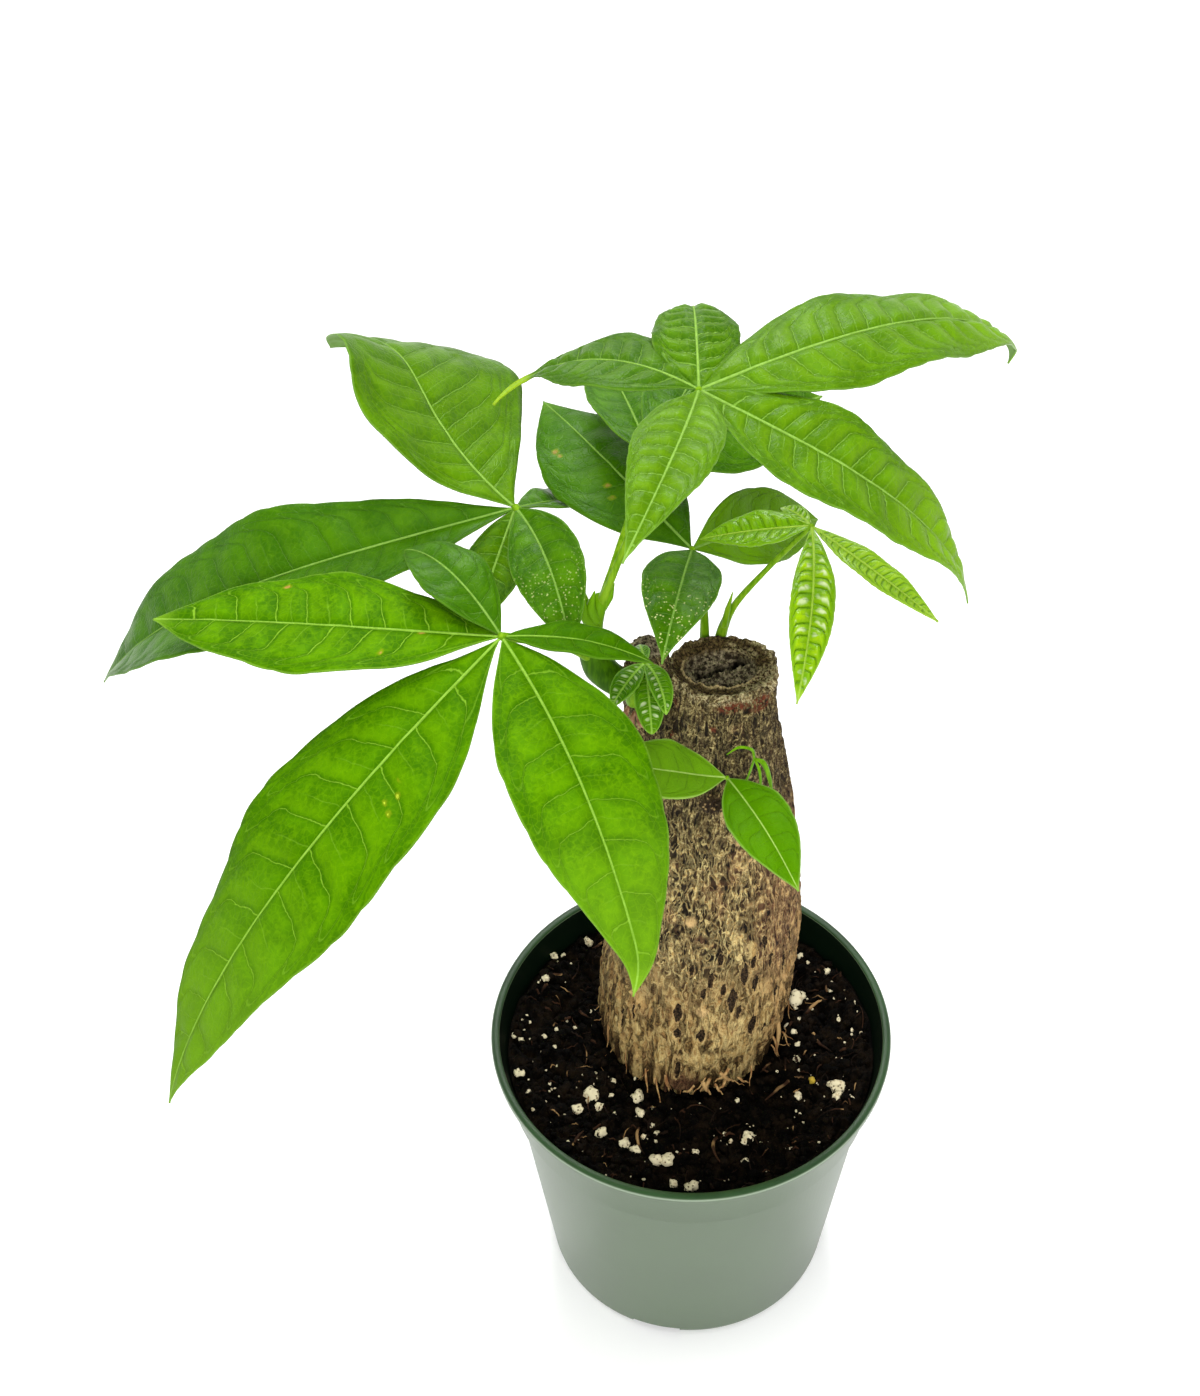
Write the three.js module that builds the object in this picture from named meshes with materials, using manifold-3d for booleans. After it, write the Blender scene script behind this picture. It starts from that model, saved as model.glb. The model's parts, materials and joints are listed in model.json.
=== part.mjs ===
// A young money tree in a 115 mm nursery pot.
// Millimetres, +Z up, origin at the centre of the pot's flat underside, front towards -Y.

import * as THREE from 'three';
import { mergeVertices } from 'three/addons/utils/BufferGeometryUtils.js';
import Module from 'manifold-3d';

const wasm = await Module();
wasm.setup();

// Driving dimensions of the pot and its filling
const pot = {
  height: 98, rimRadius: 57.5, rimHeight: 3, collarTopRadius: 55, collarFootRadius: 53, collarFoot: 78,
  bodyTopRadius: 51.3, bodyFootRadius: 41.6, baseRadius: 39.4, baseChamfer: 3.5, wall: 1.3, floor: 2,
  collarStep: 0.8, rimRound: 0.6, mouthFlare: 0.9, sides: 40,
  drains: 3, drainWidth: 14.8, drainHeight: 2.4, drainDepth: 10, drainTurn: -102.5,
};
const soil = { level: 87, waveHeight: 0.8, rippleHeight: 0.5, grainSink: 0.25, ringShares: [0.86, 0.7, 0.52] };
const seatGap = 0.3;

// Trunk rings from foot to top: height, centre x, centre y, half width x, half width y
const trunkRings = [
  [62, 1.5, 13, 15, 14], [67, 1.4, 12.8, 20.5, 20.5], [76, 1.2, 12.6, 24.4, 25], [86, 1.1, 12.6, 26.2, 27],
  [97, 1.2, 13, 27.2, 27.2], [110, 1.7, 13.6, 27.2, 26.8], [126, 2.6, 14, 27, 26.4], [142, 3.2, 14, 26.4, 25.8],
  [160, 3.8, 14, 24.6, 24], [176, 4.4, 14, 22.4, 21.8], [190, 4.9, 14, 20.6, 20], [204, 5.3, 14, 17.9, 17.2],
  [217, 5.9, 14, 15.6, 14.8], [227, 6.3, 14, 14.5, 13.6],
];
const trunkTop = {
  z: 232, x: 6.5, y: 14, halfX: 14.1, halfY: 13.2, edge: 1, lipWidth: 4,
  hollowSide: 0.6, hollowStep: 3, hollowDepth: 5, slope: 0.05, slopeFrom: 205, slopeTo: 231,
};
const trunkSides = 32;
const trunkLumps = [{ count: 3, depth: 0.4, drift: 0.05 }, { count: 5, depth: 0.3, drift: -0.09 }];
const barkRidge = { depth: 0.35, drift: 0.4, lean: 2 };
const trunkScar = { x: 4.5, y: -1.6, z: 202, radius: 3.4 };

// Stems: points along the middle, and the radius at each. roundEnd is how far an end bulges, in radii.
const roundEnd = 0.6;
const stub = {
  points: [[-3, 13, 198], [-9.2, 13, 213], [-12.2, 13, 227], [-12.9, 13, 236], [-12.6, 13.5, 242.5]],
  radii: [9, 8.6, 6.6, 5.6, 4.6],
};
const shoot = {
  points: [[-14, 13, 229], [-20.5, 12, 231.5], [-25.4, 12, 237], [-27.4, 12.6, 245], [-26.6, 13.5, 252], [-25, 14, 259]],
  radii: [3.6, 4, 4.2, 3.2, 2.7, 2.7],
};
const stipules = [
  { points: [[-26.6, 12, 254], [-28.6, 10.6, 258.5], [-29, 10.6, 263]], radii: [1.3, 1, 0.35] },
  { points: [[-26.2, 15, 256], [-27.6, 15, 260], [-26.4, 15, 265]], radii: [1.3, 1, 0.35] },
];

// Leaves. A stalk runs through points to the hub; each leaflet leaves the hub with a compass turn and a
// rise (degrees), droops and swings along its length, rolls about its midrib, and has a length and width.
// cup lifts the two halves; widest is where it is broadest; base and tip set how fast it narrows.
const leaves = {
  leaf_top: {
    color: 0x4c8f1b,
    stalk: [[-25, 14, 257], [-22.6, 12.6, 266], [-17.6, 12.4, 283], [-9.4, 13.4, 308], [-1, 15, 329]],
    radii: [2.2, 1.7, 1.5, 1.4, 1.3],
    leaflets: [
      { turn: 155, rise: 0, droop: 62, swing: -11, roll: 9, twist: 6, length: 71, width: 28.5, widest: 0.45 },
      { turn: 93, rise: 18, droop: 85, length: 51, width: 22.5, widest: 0.45, base: 0.95, tip: 1 },
      { turn: 24, rise: 9, droop: 70, swing: 28, roll: 4, twist: 3, length: 118, width: 30, cup: -6,
        widest: 0.34, base: 1.05, tip: 1 },
      { turn: -35, rise: -2, droop: 79, swing: 49, roll: 7, length: 95, width: 27, cup: 4, widest: 0.37 },
      { turn: -97, rise: 16, droop: 37, swing: -17, length: 62, width: 21, cup: 5, widest: 0.39, tip: 1.4 },
    ],
  },
  leaf_behind_top: {
    color: 0x2f6d16,
    stalk: [[-24.6, 15.5, 256], [-22, 22, 262], [-17, 33, 273], [-12, 42, 281]], radii: [1.8, 1.4, 1.3, 1.2],
    leaflets: [
      { turn: 43, rise: -8, droop: 10, roll: 26, length: 61, width: 27, cup: 9, widest: 0.42 },
      { turn: 108, rise: 0, droop: 27, swing: -4, length: 56, width: 20, cup: 8 },
      { turn: 75, rise: 6, droop: 34, length: 52, width: 20, cup: 8 },
    ],
  },
  leaf_back_left: {
    color: 0x3d8420,
    stalk: [[-26.4, 14.5, 249], [-30, 20, 255], [-38, 31, 262], [-47.5, 40, 266]], radii: [1.9, 1.5, 1.3, 1.3],
    leaflets: [
      { turn: 138, rise: 44, droop: 92, swing: -17, roll: 6, twist: 32, length: 82, width: 52, cup: 12,
        widest: 0.41, base: 1.35, tip: 1 },
      { turn: -158, rise: -2, droop: 60, swing: -42, roll: -9, length: 138, width: 39, cup: 12, widest: 0.56 },
      { turn: -108, rise: -22, droop: 10, roll: -3, length: 34, width: 15, cup: 8 },
      { turn: -64, rise: 14, droop: 58, swing: -11, roll: 20, length: 48, width: 19, cup: 10 },
      { turn: 48, rise: -24, droop: 22, roll: -10, length: 40, width: 15, cup: 7 },
    ],
  },
  leaf_front_left: {
    color: 0x57a21a,
    stalk: [[-27, 12, 240], [-31.4, 6.4, 249], [-38.6, -0.6, 258.6], [-48.5, -5, 265]], radii: [2.1, 1.6, 1.4, 1.4],
    leaflets: [
      { turn: 177, rise: 0, droop: 20, swing: -16, length: 94, width: 34.5, cup: 3, widest: 0.48, tip: 1.05 },
      { turn: -128, rise: -10, droop: 65, swing: -20, roll: 4, twist: 2, length: 154, width: 47, cup: -3,
        widest: 0.39, base: 1.35, tip: 1.2 },
      { turn: -61, rise: 0, droop: 34, swing: -14, roll: 2, twist: -9, length: 105, width: 36, cup: 4,
        widest: 0.45, tip: 1.2 },
      { turn: -5, rise: 11, droop: 43, roll: -12, length: 39, width: 14, cup: 3 },
      { turn: 133, rise: 37, droop: 80, length: 42, width: 17.5, cup: 2, widest: 0.47 },
    ],
  },
  leaf_centre: {
    color: 0x2c6a18,
    stalk: [[1.6, 22, 222], [1.6, 27.4, 232], [1.4, 28.6, 245], [-2, 30, 262]], radii: [1.9, 1.6, 1.3, 1.2],
    leaflets: [
      { turn: 131, rise: 10, droop: 24, swing: -10, roll: 2, length: 70, width: 34, cup: -10 },
      { turn: 42, rise: -13, droop: 19, roll: 34, length: 48, width: 21.5, cup: 7, tip: 1.05 },
      { turn: -97, rise: 24, droop: 47, swing: -4, roll: -4, length: 45, width: 20, cup: 10, widest: 0.45 },
    ],
  },
  leaf_young_right: {
    color: 0x7fb32c,
    stalk: [[7, 22, 224], [7.4, 27.2, 235], [9.4, 27.2, 244.5], [16, 27.8, 256], [28, 30, 271]],
    radii: [1.9, 1.7, 1.2, 0.9, 0.8],
    leaflets: [
      { turn: 177, rise: -8, droop: 13, roll: -6, length: 29, width: 11.5, cup: 6, widest: 0.44 },
      { turn: -86, rise: -2, droop: 29, swing: -17, roll: -7, length: 52, width: 11.5, cup: 10 },
      { turn: -45, rise: 0, droop: 19, swing: 8, length: 42, width: 8.5, cup: 7 },
      { turn: 126, rise: 0, droop: 40, length: 14, width: 5, cup: 10 },
    ],
  },
  leaf_young_cluster: {
    color: 0x6ca62a,
    stalk: [[-14, 10, 231], [-16.4, 5.4, 235], [-16.2, 2.6, 241], [-14.6, 0.4, 248], [-13.2, -0.6, 252]],
    radii: [2.6, 2.8, 2.4, 1.3, 0.8],
    leaflets: [
      { turn: -126, rise: 2, droop: 41, swing: 4, length: 14, width: 5.8, cup: 10, base: 1.1, tip: 1.1 },
      { turn: -81, rise: -7, droop: 36, length: 18, width: 6, cup: 10, base: 1.1, tip: 1.1 },
      { turn: -55, rise: 12, droop: 50, swing: -20, length: 17, width: 5.5, cup: 10, base: 1.1, tip: 1.1 },
      { turn: 101, rise: 0, droop: 35, length: 9, width: 4, cup: 10, base: 1.1, tip: 1.1 },
    ],
  },
  sprout_front: {
    color: 0x4f9a17,
    stalk: [[4.6, 1, 202], [5.6, -4.6, 207], [7.2, -9.4, 215], [8, -12, 222]], radii: [1.7, 1.3, 0.9, 0.8],
    leaflets: [
      { turn: -165, rise: 22, swing: -8, roll: -17, length: 35, width: 16.5, cup: 6, widest: 0.47 },
      { turn: -64, rise: 14, droop: 41, swing: 3, roll: 10, length: 40, width: 16.5, cup: 10, widest: 0.46 },
    ],
  },
};

// The tiny curled sprout: a stem that forks into one arching arm and two hanging ones
const curledSprout = [
  { points: [[11.4, 2, 206], [12.4, -5.4, 212], [13.6, -8.2, 219], [14.8, -9, 226]], radii: [1.2, 1, 0.8, 0.8] },
  { points: [[14.8, -9, 226], [14, -10, 230.6], [10.8, -10.6, 232], [7.8, -10.4, 229]], radii: [0.8, 0.9, 0.8, 0.4] },
  { points: [[14.8, -9, 226], [17, -10.2, 226], [18.8, -10.8, 220.6], [19.8, -11, 214]], radii: [0.8, 1.1, 1, 0.4] },
  { points: [[14.8, -9, 226], [16, -11, 224.6], [16.6, -12, 220], [16.6, -12, 216]], radii: [0.8, 1, 0.9, 0.4] },
];

// The larger perlite grains in the soil's face: x, y, diameter
const grains = [
  [-28, -16, 4.6], [-32, -21, 3.5], [-26, -20, 3], [-15, -17, 4.6], [-14, -22, 3], [-25, -29, 3.4], [-18, -32, 3.6],
  [-15, -34, 3.2], [-9, -38, 4], [-6, -38, 4], [17, -30, 3.2], [31, -15, 3], [42, -12, 5], [42, -16, 3.2],
  [-4, -46, 3.1], [1, -47, 4.3], [31, 20, 5.9], [-31, 38, 3.3], [-49, -12, 3],
];

// Blade thickness, rib depth, blunt end and edge waves shared by all leaflets, and a large one's least length
const blade = { thickness: 0.7, rib: 0.5, stub: 0.55, wave: 0.018, waves: 3, fullWaveHalf: 6, large: 60 };
const droopPower = 1.3;
const hubSwell = 0.5;

// Closed solids and booleans

function toSolid(geometry) {
  geometry.deleteAttribute('normal');
  geometry.deleteAttribute('uv');
  const merged = mergeVertices(geometry, 1e-4);
  const mesh = new wasm.Mesh({
    numProp: 3,
    vertProperties: new Float32Array(merged.attributes.position.array),
    triVerts: new Uint32Array(merged.index.array),
  });
  return new wasm.Manifold(mesh);
}

function largestPiece(solid) {
  const pieces = solid.decompose();
  return pieces.reduce((a, b) => (a.volume() > b.volume() ? a : b));
}

function toGeometry(solid) {
  const mesh = solid.getMesh();
  const geometry = new THREE.BufferGeometry();
  geometry.setAttribute('position', new THREE.BufferAttribute(new Float32Array(mesh.vertProperties), 3));
  geometry.setIndex(new THREE.BufferAttribute(new Uint32Array(mesh.triVerts), 1));
  geometry.computeVertexNormals();
  return geometry;
}

function joinAll(solids) {
  return solids.reduce((a, b) => a.add(b));
}

// A closed skin over rings of points, each end closed by a fan to its middle. Rings turn counter-clockwise
// seen from beyond the last one, so that the faces point out.
function skinRings(rings) {
  const count = rings[0].length;
  const points = rings.flat();
  const index = [];
  for (let i = 0; i < rings.length - 1; i += 1) {
    for (let j = 0; j < count; j += 1) {
      const a = i * count + j;
      const b = i * count + ((j + 1) % count);
      index.push(a, b, b + count, a, b + count, a + count);
    }
  }
  const closeEnd = (ring, first, outward) => {
    const middle = ring.reduce((sum, p) => sum.add(p), new THREE.Vector3()).divideScalar(count);
    const centre = points.push(middle) - 1;
    for (let j = 0; j < count; j += 1) {
      const a = first + j;
      const b = first + ((j + 1) % count);
      index.push(...(outward ? [a, b, centre] : [b, a, centre]));
    }
  };
  closeEnd(rings[0], 0, false);
  closeEnd(rings[rings.length - 1], (rings.length - 1) * count, true);
  const geometry = new THREE.BufferGeometry();
  geometry.setAttribute('position', new THREE.Float32BufferAttribute(points.flatMap((p) => p.toArray()), 3));
  geometry.setIndex(index);
  return toSolid(geometry);
}

// A tapering round stem along a smooth curve, with rounded ends, grown by extra all over
function stem({ points, radii }, sides = 8, steps = 10, extra = 0) {
  const curve = new THREE.CatmullRomCurve3(points.map((p) => new THREE.Vector3(...p)));
  const frames = curve.computeFrenetFrames(steps, false);
  const rings = [];
  const addRing = (centre, k, radius) => {
    const ring = [];
    for (let j = 0; j < sides; j += 1) {
      const angle = (j / sides) * Math.PI * 2;
      const point = centre.clone();
      point.addScaledVector(frames.normals[k], Math.cos(angle) * radius);
      point.addScaledVector(frames.binormals[k], Math.sin(angle) * radius);
      ring.push(point);
    }
    rings.push(ring);
  };
  for (let k = 0; k <= steps; k += 1) {
    const t = k / steps;
    const place = t * (radii.length - 1);
    const low = Math.min(Math.floor(place), radii.length - 2);
    const radius = THREE.MathUtils.lerp(radii[low], radii[low + 1], place - low) + extra;
    const centre = curve.getPoint(t);
    const cap = radius * roundEnd;
    if (k === 0) addRing(centre.clone().addScaledVector(frames.tangents[0], -cap), 0, cap);
    addRing(centre, k, radius);
    if (k === steps) addRing(centre.clone().addScaledVector(frames.tangents[k], cap), k, cap);
  }
  return skinRings(rings);
}

function ball(x, y, z, radius) {
  const geometry = new THREE.IcosahedronGeometry(radius, 0);
  geometry.translate(x, y, z);
  return toSolid(geometry);
}

// The pot

function potOuterProfile() {
  const p = pot;
  const rimFoot = p.height - p.rimHeight;
  return [
    [p.baseRadius, 0], [p.bodyFootRadius, p.baseChamfer], [p.bodyTopRadius, p.collarFoot],
    [p.collarFootRadius, p.collarFoot + p.collarStep], [p.collarTopRadius, rimFoot],
    [p.rimRadius - p.rimRound / 2, rimFoot + p.rimRound / 3], [p.rimRadius, p.height - p.rimRound],
    [p.rimRadius - p.rimRound, p.height],
  ];
}

function potInnerProfile(clearance) {
  const p = pot;
  const inset = p.wall + clearance;
  return [
    [p.collarTopRadius - inset + p.mouthFlare, p.height], [p.collarTopRadius - inset, p.height - p.mouthFlare],
    [p.collarFootRadius - inset, p.collarFoot + p.collarStep],
    [p.bodyTopRadius - inset, p.collarFoot - p.collarStep],
    [p.bodyFootRadius - inset, p.floor + clearance],
  ];
}

function makePot() {
  const profile = [[0, 0], ...potOuterProfile(), ...potInnerProfile(0), [0, pot.floor]];
  const points = profile.map(([r, z]) => new THREE.Vector2(r, z));
  const shell = new THREE.LatheGeometry(points, pot.sides);
  shell.rotateX(Math.PI / 2);
  let solid = toSolid(shell);
  for (let i = 0; i < pot.drains; i += 1) {
    const turn = THREE.MathUtils.degToRad(pot.drainTurn + (360 / pot.drains) * i);
    const notch = new THREE.BoxGeometry(pot.drainDepth, pot.drainWidth, pot.drainHeight * 2);
    notch.translate(pot.baseRadius, 0, 0);
    notch.rotateZ(turn);
    solid = solid.subtract(toSolid(notch));
  }
  return solid;
}

// The trunk: stacked rings with shallow lumps, a rounded foot, and a lip round the hollow cut top

function trunkRing(z, x, y, halfX, halfY, grow) {
  const ring = [];
  for (let j = 0; j < trunkSides; j += 1) {
    const angle = (j / trunkSides) * Math.PI * 2;
    const lump = trunkLumps.reduce((sum, wave) => (
      sum + wave.depth * Math.sin(wave.count * angle + z * wave.drift)
    ), 0);
    const ridge = barkRidge.depth * Math.cos(angle * (trunkSides / 2))
      * Math.sin(z * barkRidge.drift + barkRidge.lean * angle);
    const sloped = THREE.MathUtils.smoothstep(z, trunkTop.slopeFrom, trunkTop.slopeTo);
    const out = lump + ridge + grow;
    ring.push(new THREE.Vector3(
      x + Math.cos(angle) * (halfX + out),
      y + Math.sin(angle) * (halfY + out),
      z - trunkTop.slope * Math.sin(angle) * halfY * sloped,
    ));
  }
  return ring;
}

function makeTrunk(grow) {
  const top = trunkTop;
  const rings = trunkRings.map(([z, x, y, halfX, halfY], i) => (
    trunkRing(i ? z : z - grow, x, y, halfX, halfY, grow)
  ));
  const addTopRing = (drop, inset, ringGrow) => {
    rings.push(trunkRing(top.z - drop, top.x, top.y, top.halfX - inset, top.halfY - inset, ringGrow));
  };
  const hollow = top.lipWidth + top.hollowSide;
  addTopRing(top.edge, 0, grow);
  addTopRing(-grow, top.edge, grow);
  addTopRing(-grow, top.lipWidth, -grow);
  addTopRing(top.hollowStep - grow, hollow, -grow);
  addTopRing(top.hollowDepth - grow, hollow + top.hollowStep, -grow);
  const scar = ball(trunkScar.x, trunkScar.y, trunkScar.z, trunkScar.radius + grow);
  return joinAll([skinRings(rings), stem(stub, 12, 8, grow), scar]);
}

// The soil: a filling that fits the pot, with a lumpy face, perlite grains and a plain hole for the trunk

function makeSoil() {
  const inner = potInnerProfile(seatGap);
  const floor = inner[4];
  const wallAt = (z) => {
    const k = inner.findIndex(([, height], i) => i > 0 && z >= height);
    const [r1, z1] = inner[k];
    const [r0, z0] = inner[k - 1];
    return r1 + ((r0 - r1) * (z - z1)) / (z0 - z1);
  };
  const edge = wallAt(soil.level);
  const bed = [
    [0, floor[1]], [floor[0] - seatGap, floor[1]], inner[3], inner[2], [edge, soil.level],
    ...soil.ringShares.map((share) => [edge * share, soil.level]), [0, soil.level],
  ];
  const lathe = new THREE.LatheGeometry(bed.map(([r, z]) => new THREE.Vector2(r, z)), pot.sides);
  lathe.rotateX(Math.PI / 2);
  const place = lathe.attributes.position;
  const rise = (x, y) => (
    soil.waveHeight * Math.sin(x * 0.31 + 1) * Math.cos(y * 0.27) + soil.rippleHeight * Math.sin(y * 0.6 + x * 0.4)
  );
  for (let i = 0; i < place.count; i += 1) {
    const x = place.getX(i);
    const y = place.getY(i);
    const onFace = place.getZ(i) > soil.level - 0.01;
    if (onFace && Math.hypot(x, y) < edge - 1) place.setZ(i, soil.level + rise(x, y));
  }
  const lumps = grains.map(([x, y, size]) => ball(x, y, soil.level + size * soil.grainSink, size / 2));
  return joinAll([toSolid(lathe), ...lumps]);
}

// Leaflets and leaves

// Midrib points and the sideways and upward directions at each, from the leaflet's posture
function midrib(hub, leaflet, steps) {
  const { turn, rise, droop = 0, swing = 0, roll = 0, twist = 0, length } = leaflet;
  const rad = THREE.MathUtils.degToRad;
  const heading = (t) => {
    const up = rad(rise - droop * t ** droopPower);
    const round = rad(turn + swing * t);
    return new THREE.Vector3(Math.cos(up) * Math.cos(round), Math.cos(up) * Math.sin(round), Math.sin(up));
  };
  const point = new THREE.Vector3(...hub);
  const stations = [];
  const fine = 4;
  for (let i = 0; i <= steps; i += 1) {
    const t = i / steps;
    const round = rad(turn + swing * t);
    const flat = new THREE.Vector3(-Math.sin(round), Math.cos(round), 0);
    const normal = heading(t).cross(flat);
    const angle = rad(roll + twist * t);
    stations.push({
      t,
      point: point.clone(),
      side: flat.clone().multiplyScalar(Math.cos(angle)).addScaledVector(normal, Math.sin(angle)),
      up: normal.clone().multiplyScalar(Math.cos(angle)).addScaledVector(flat, -Math.sin(angle)),
    });
    for (let k = 0; k < fine; k += 1) {
      point.addScaledVector(heading(t + (k + 0.5) / (fine * steps)), length / (fine * steps));
    }
  }
  return stations;
}

function halfWidth({ width, widest = 0.5, base = 1.15, tip = 1.15 }, t) {
  const u = t < widest ? (widest - t) / widest : (t - widest) / (1 - widest);
  return (width / 2) * Math.max(0, 1 - u * u) ** (t < widest ? base : tip);
}

// One blade: a closed skin over rings that each run across the upper face and back along the lower one
function makeLeaflet(hub, leaflet) {
  const { length, cup = 0 } = leaflet;
  const large = length > blade.large;
  const steps = large ? 14 : Math.max(7, Math.round(length / 5));
  const across = large ? [-1, -0.5, 0, 0.5, 1] : [-1, 0, 1];
  const lift = THREE.MathUtils.degToRad(cup);
  const rings = midrib(hub, leaflet, steps).map(({ t, point, side, up }) => {
    const half = Math.max(blade.stub, halfWidth(leaflet, t));
    const at = (s, depth) => {
      const wave = Math.sin(t * Math.PI) * Math.sin(blade.waves * Math.PI * 2 * t + s);
      const ripple = blade.wave * length * s * s * wave * Math.min(1, half / blade.fullWaveHalf);
      const place = point.clone().addScaledVector(side, s * half * Math.cos(lift));
      return place.addScaledVector(up, Math.abs(s) * half * Math.sin(lift) + ripple - depth);
    };
    const upper = across.map((s) => at(s, 0));
    const lower = across.map((s) => at(s, blade.thickness + (s === 0 ? blade.rib : 0)));
    return [...upper, ...lower.reverse()];
  });
  return skinRings(rings.map((ring) => ring.reverse()));
}

function makeLeaf({ stalk, radii, leaflets }) {
  const hub = stalk[stalk.length - 1];
  const knob = ball(...hub, radii[radii.length - 1] + hubSwell);
  const blades = leaflets.map((leaflet) => makeLeaflet(hub, leaflet));
  return joinAll([stem({ points: stalk, radii }, 6, 8), knob, ...blades]);
}

// Assembly

const plant = new THREE.Group();

function addPart(name, solid, color, roughness) {
  const material = new THREE.MeshStandardMaterial({ color, roughness, metalness: 0 });
  const mesh = new THREE.Mesh(toGeometry(solid), material);
  mesh.name = name;
  plant.add(mesh);
}

const trunkSeat = makeTrunk(seatGap);
const shootSeat = stem(shoot, 12, 12, seatGap);
const seats = trunkSeat.add(shootSeat);

addPart('nursery_pot', makePot(), 0x5f7a62, 0.55);
addPart('potting_soil', largestPiece(makeSoil().subtract(trunkSeat)), 0x1c1510, 0.95);
addPart('trunk', makeTrunk(0), 0x6b5540, 0.9);

const shootBody = joinAll([stem(shoot, 10, 12), ...stipules.map((s) => stem(s, 6, 5))]);
addPart('shoot_left', largestPiece(shootBody.subtract(trunkSeat)), 0x4d8a26, 0.5);

for (const [name, leaf] of Object.entries(leaves)) {
  addPart(name, largestPiece(makeLeaf(leaf).subtract(seats)), leaf.color, 0.45);
}

const sprout = joinAll(curledSprout.map((arm) => stem(arm, 5, 5)));
addPart('curled_sprout', largestPiece(sprout.subtract(trunkSeat)), 0x8cc04a, 0.5);

export default plant;
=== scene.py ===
import json
import math
import random

import bpy
import numpy as np
from mathutils import Matrix, Vector, noise
from mathutils.kdtree import KDTree

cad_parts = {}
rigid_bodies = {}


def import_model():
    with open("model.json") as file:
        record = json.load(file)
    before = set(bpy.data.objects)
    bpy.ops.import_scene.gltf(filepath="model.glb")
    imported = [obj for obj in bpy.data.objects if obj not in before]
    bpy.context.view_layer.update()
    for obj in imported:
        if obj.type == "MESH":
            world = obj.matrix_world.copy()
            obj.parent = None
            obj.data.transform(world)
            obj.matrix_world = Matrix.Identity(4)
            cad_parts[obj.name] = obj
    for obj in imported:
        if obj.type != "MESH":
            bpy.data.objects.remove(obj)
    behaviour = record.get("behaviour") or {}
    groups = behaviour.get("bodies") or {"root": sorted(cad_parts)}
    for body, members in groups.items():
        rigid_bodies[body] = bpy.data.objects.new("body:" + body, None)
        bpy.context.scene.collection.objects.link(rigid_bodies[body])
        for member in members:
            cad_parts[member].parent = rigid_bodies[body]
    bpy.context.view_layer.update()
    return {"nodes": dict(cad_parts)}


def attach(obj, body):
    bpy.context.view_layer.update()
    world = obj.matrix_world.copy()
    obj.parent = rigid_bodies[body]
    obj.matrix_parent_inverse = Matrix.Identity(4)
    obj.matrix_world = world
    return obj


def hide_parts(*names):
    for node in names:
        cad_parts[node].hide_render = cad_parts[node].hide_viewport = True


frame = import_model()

mm = 0.001
dice = random.Random(4117)
print("frame loaded:", len(frame["nodes"]), "nodes")


# Selecting, joining and finishing

def dropSelection():
    bpy.context.view_layer.update()
    for thing in bpy.context.view_layer.objects:
        if thing.select_get():
            thing.select_set(False)


def pick(*things):  # the first one becomes active
    dropSelection()
    for thing in things:
        thing.select_set(True)
    bpy.context.view_layer.objects.active = things[0]


def bakeModifiers(thing):
    pick(thing)
    for modifier in list(thing.modifiers):
        bpy.ops.object.modifier_apply(modifier=modifier.name)


def fuse(name, things):
    pick(*things)
    bpy.ops.object.join()
    whole = things[0]
    whole.name = name
    whole.data.name = name
    return whole


def seat(piece, node):
    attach(piece, "root")
    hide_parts(node)


def roundFaces(mesh):  # no edge stays sharp
    for face in mesh.polygons:
        face.use_smooth = True


def leaveEditing():  # with all faces turned outward
    bpy.ops.mesh.select_all(action="SELECT")
    bpy.ops.mesh.normals_make_consistent(inside=False)
    bpy.ops.object.mode_set(mode="OBJECT")


# Points and attributes of a mesh, worked on in millimetres

def readPoints(thing):
    flat = np.empty(len(thing.data.vertices) * 3, np.float32)
    thing.data.vertices.foreach_get("co", flat)
    return flat.reshape(-1, 3).astype(float) / mm


def writePoints(thing, points):
    thing.data.vertices.foreach_set("co", (np.asarray(points) * mm).astype(np.float32).ravel())
    thing.data.update()


def tag(thing, name, first=0, second=0, third=0):  # columns or single numbers, kept on the points
    layer = thing.data.attributes.new(name, "FLOAT_VECTOR", "POINT")
    rows = np.zeros((len(thing.data.vertices), 3), np.float32)
    for k, column in enumerate((first, second, third)):
        rows[:, k] = column
    layer.data.foreach_set("vector", rows.ravel())


def gridSheet(name, along, across):  # a flat grid, with 0..1 along it and -1..1 across it
    dropSelection()
    bpy.ops.mesh.primitive_grid_add(x_subdivisions=along, y_subdivisions=across, size=mm)
    sheet = bpy.context.object
    sheet.name = name
    place = readPoints(sheet)
    return sheet, place[:, 0] + 0.5, place[:, 1] * 2


def ease(low, high, value):  # 0 below low, 1 above high, smooth between
    part = np.clip((value - low) / (high - low), 0, 1)
    return part * part * (3 - 2 * part)


def smoothTable(x, knots, values):  # a smooth curve through a column of sizes
    knots = np.asarray(knots, float)
    values = np.asarray(values, float)
    slopes = np.gradient(values, knots)
    k = np.clip(np.searchsorted(knots, x) - 1, 0, len(knots) - 2)
    step = knots[k + 1] - knots[k]
    s = np.clip((x - knots[k]) / step, 0, 1)
    rise = values[k] * (2 * s**3 - 3 * s**2 + 1) + values[k + 1] * (3 * s**2 - 2 * s**3)
    return rise + step * (slopes[k] * (s**3 - 2 * s**2 + s) + slopes[k + 1] * (s**3 - s**2))


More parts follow.
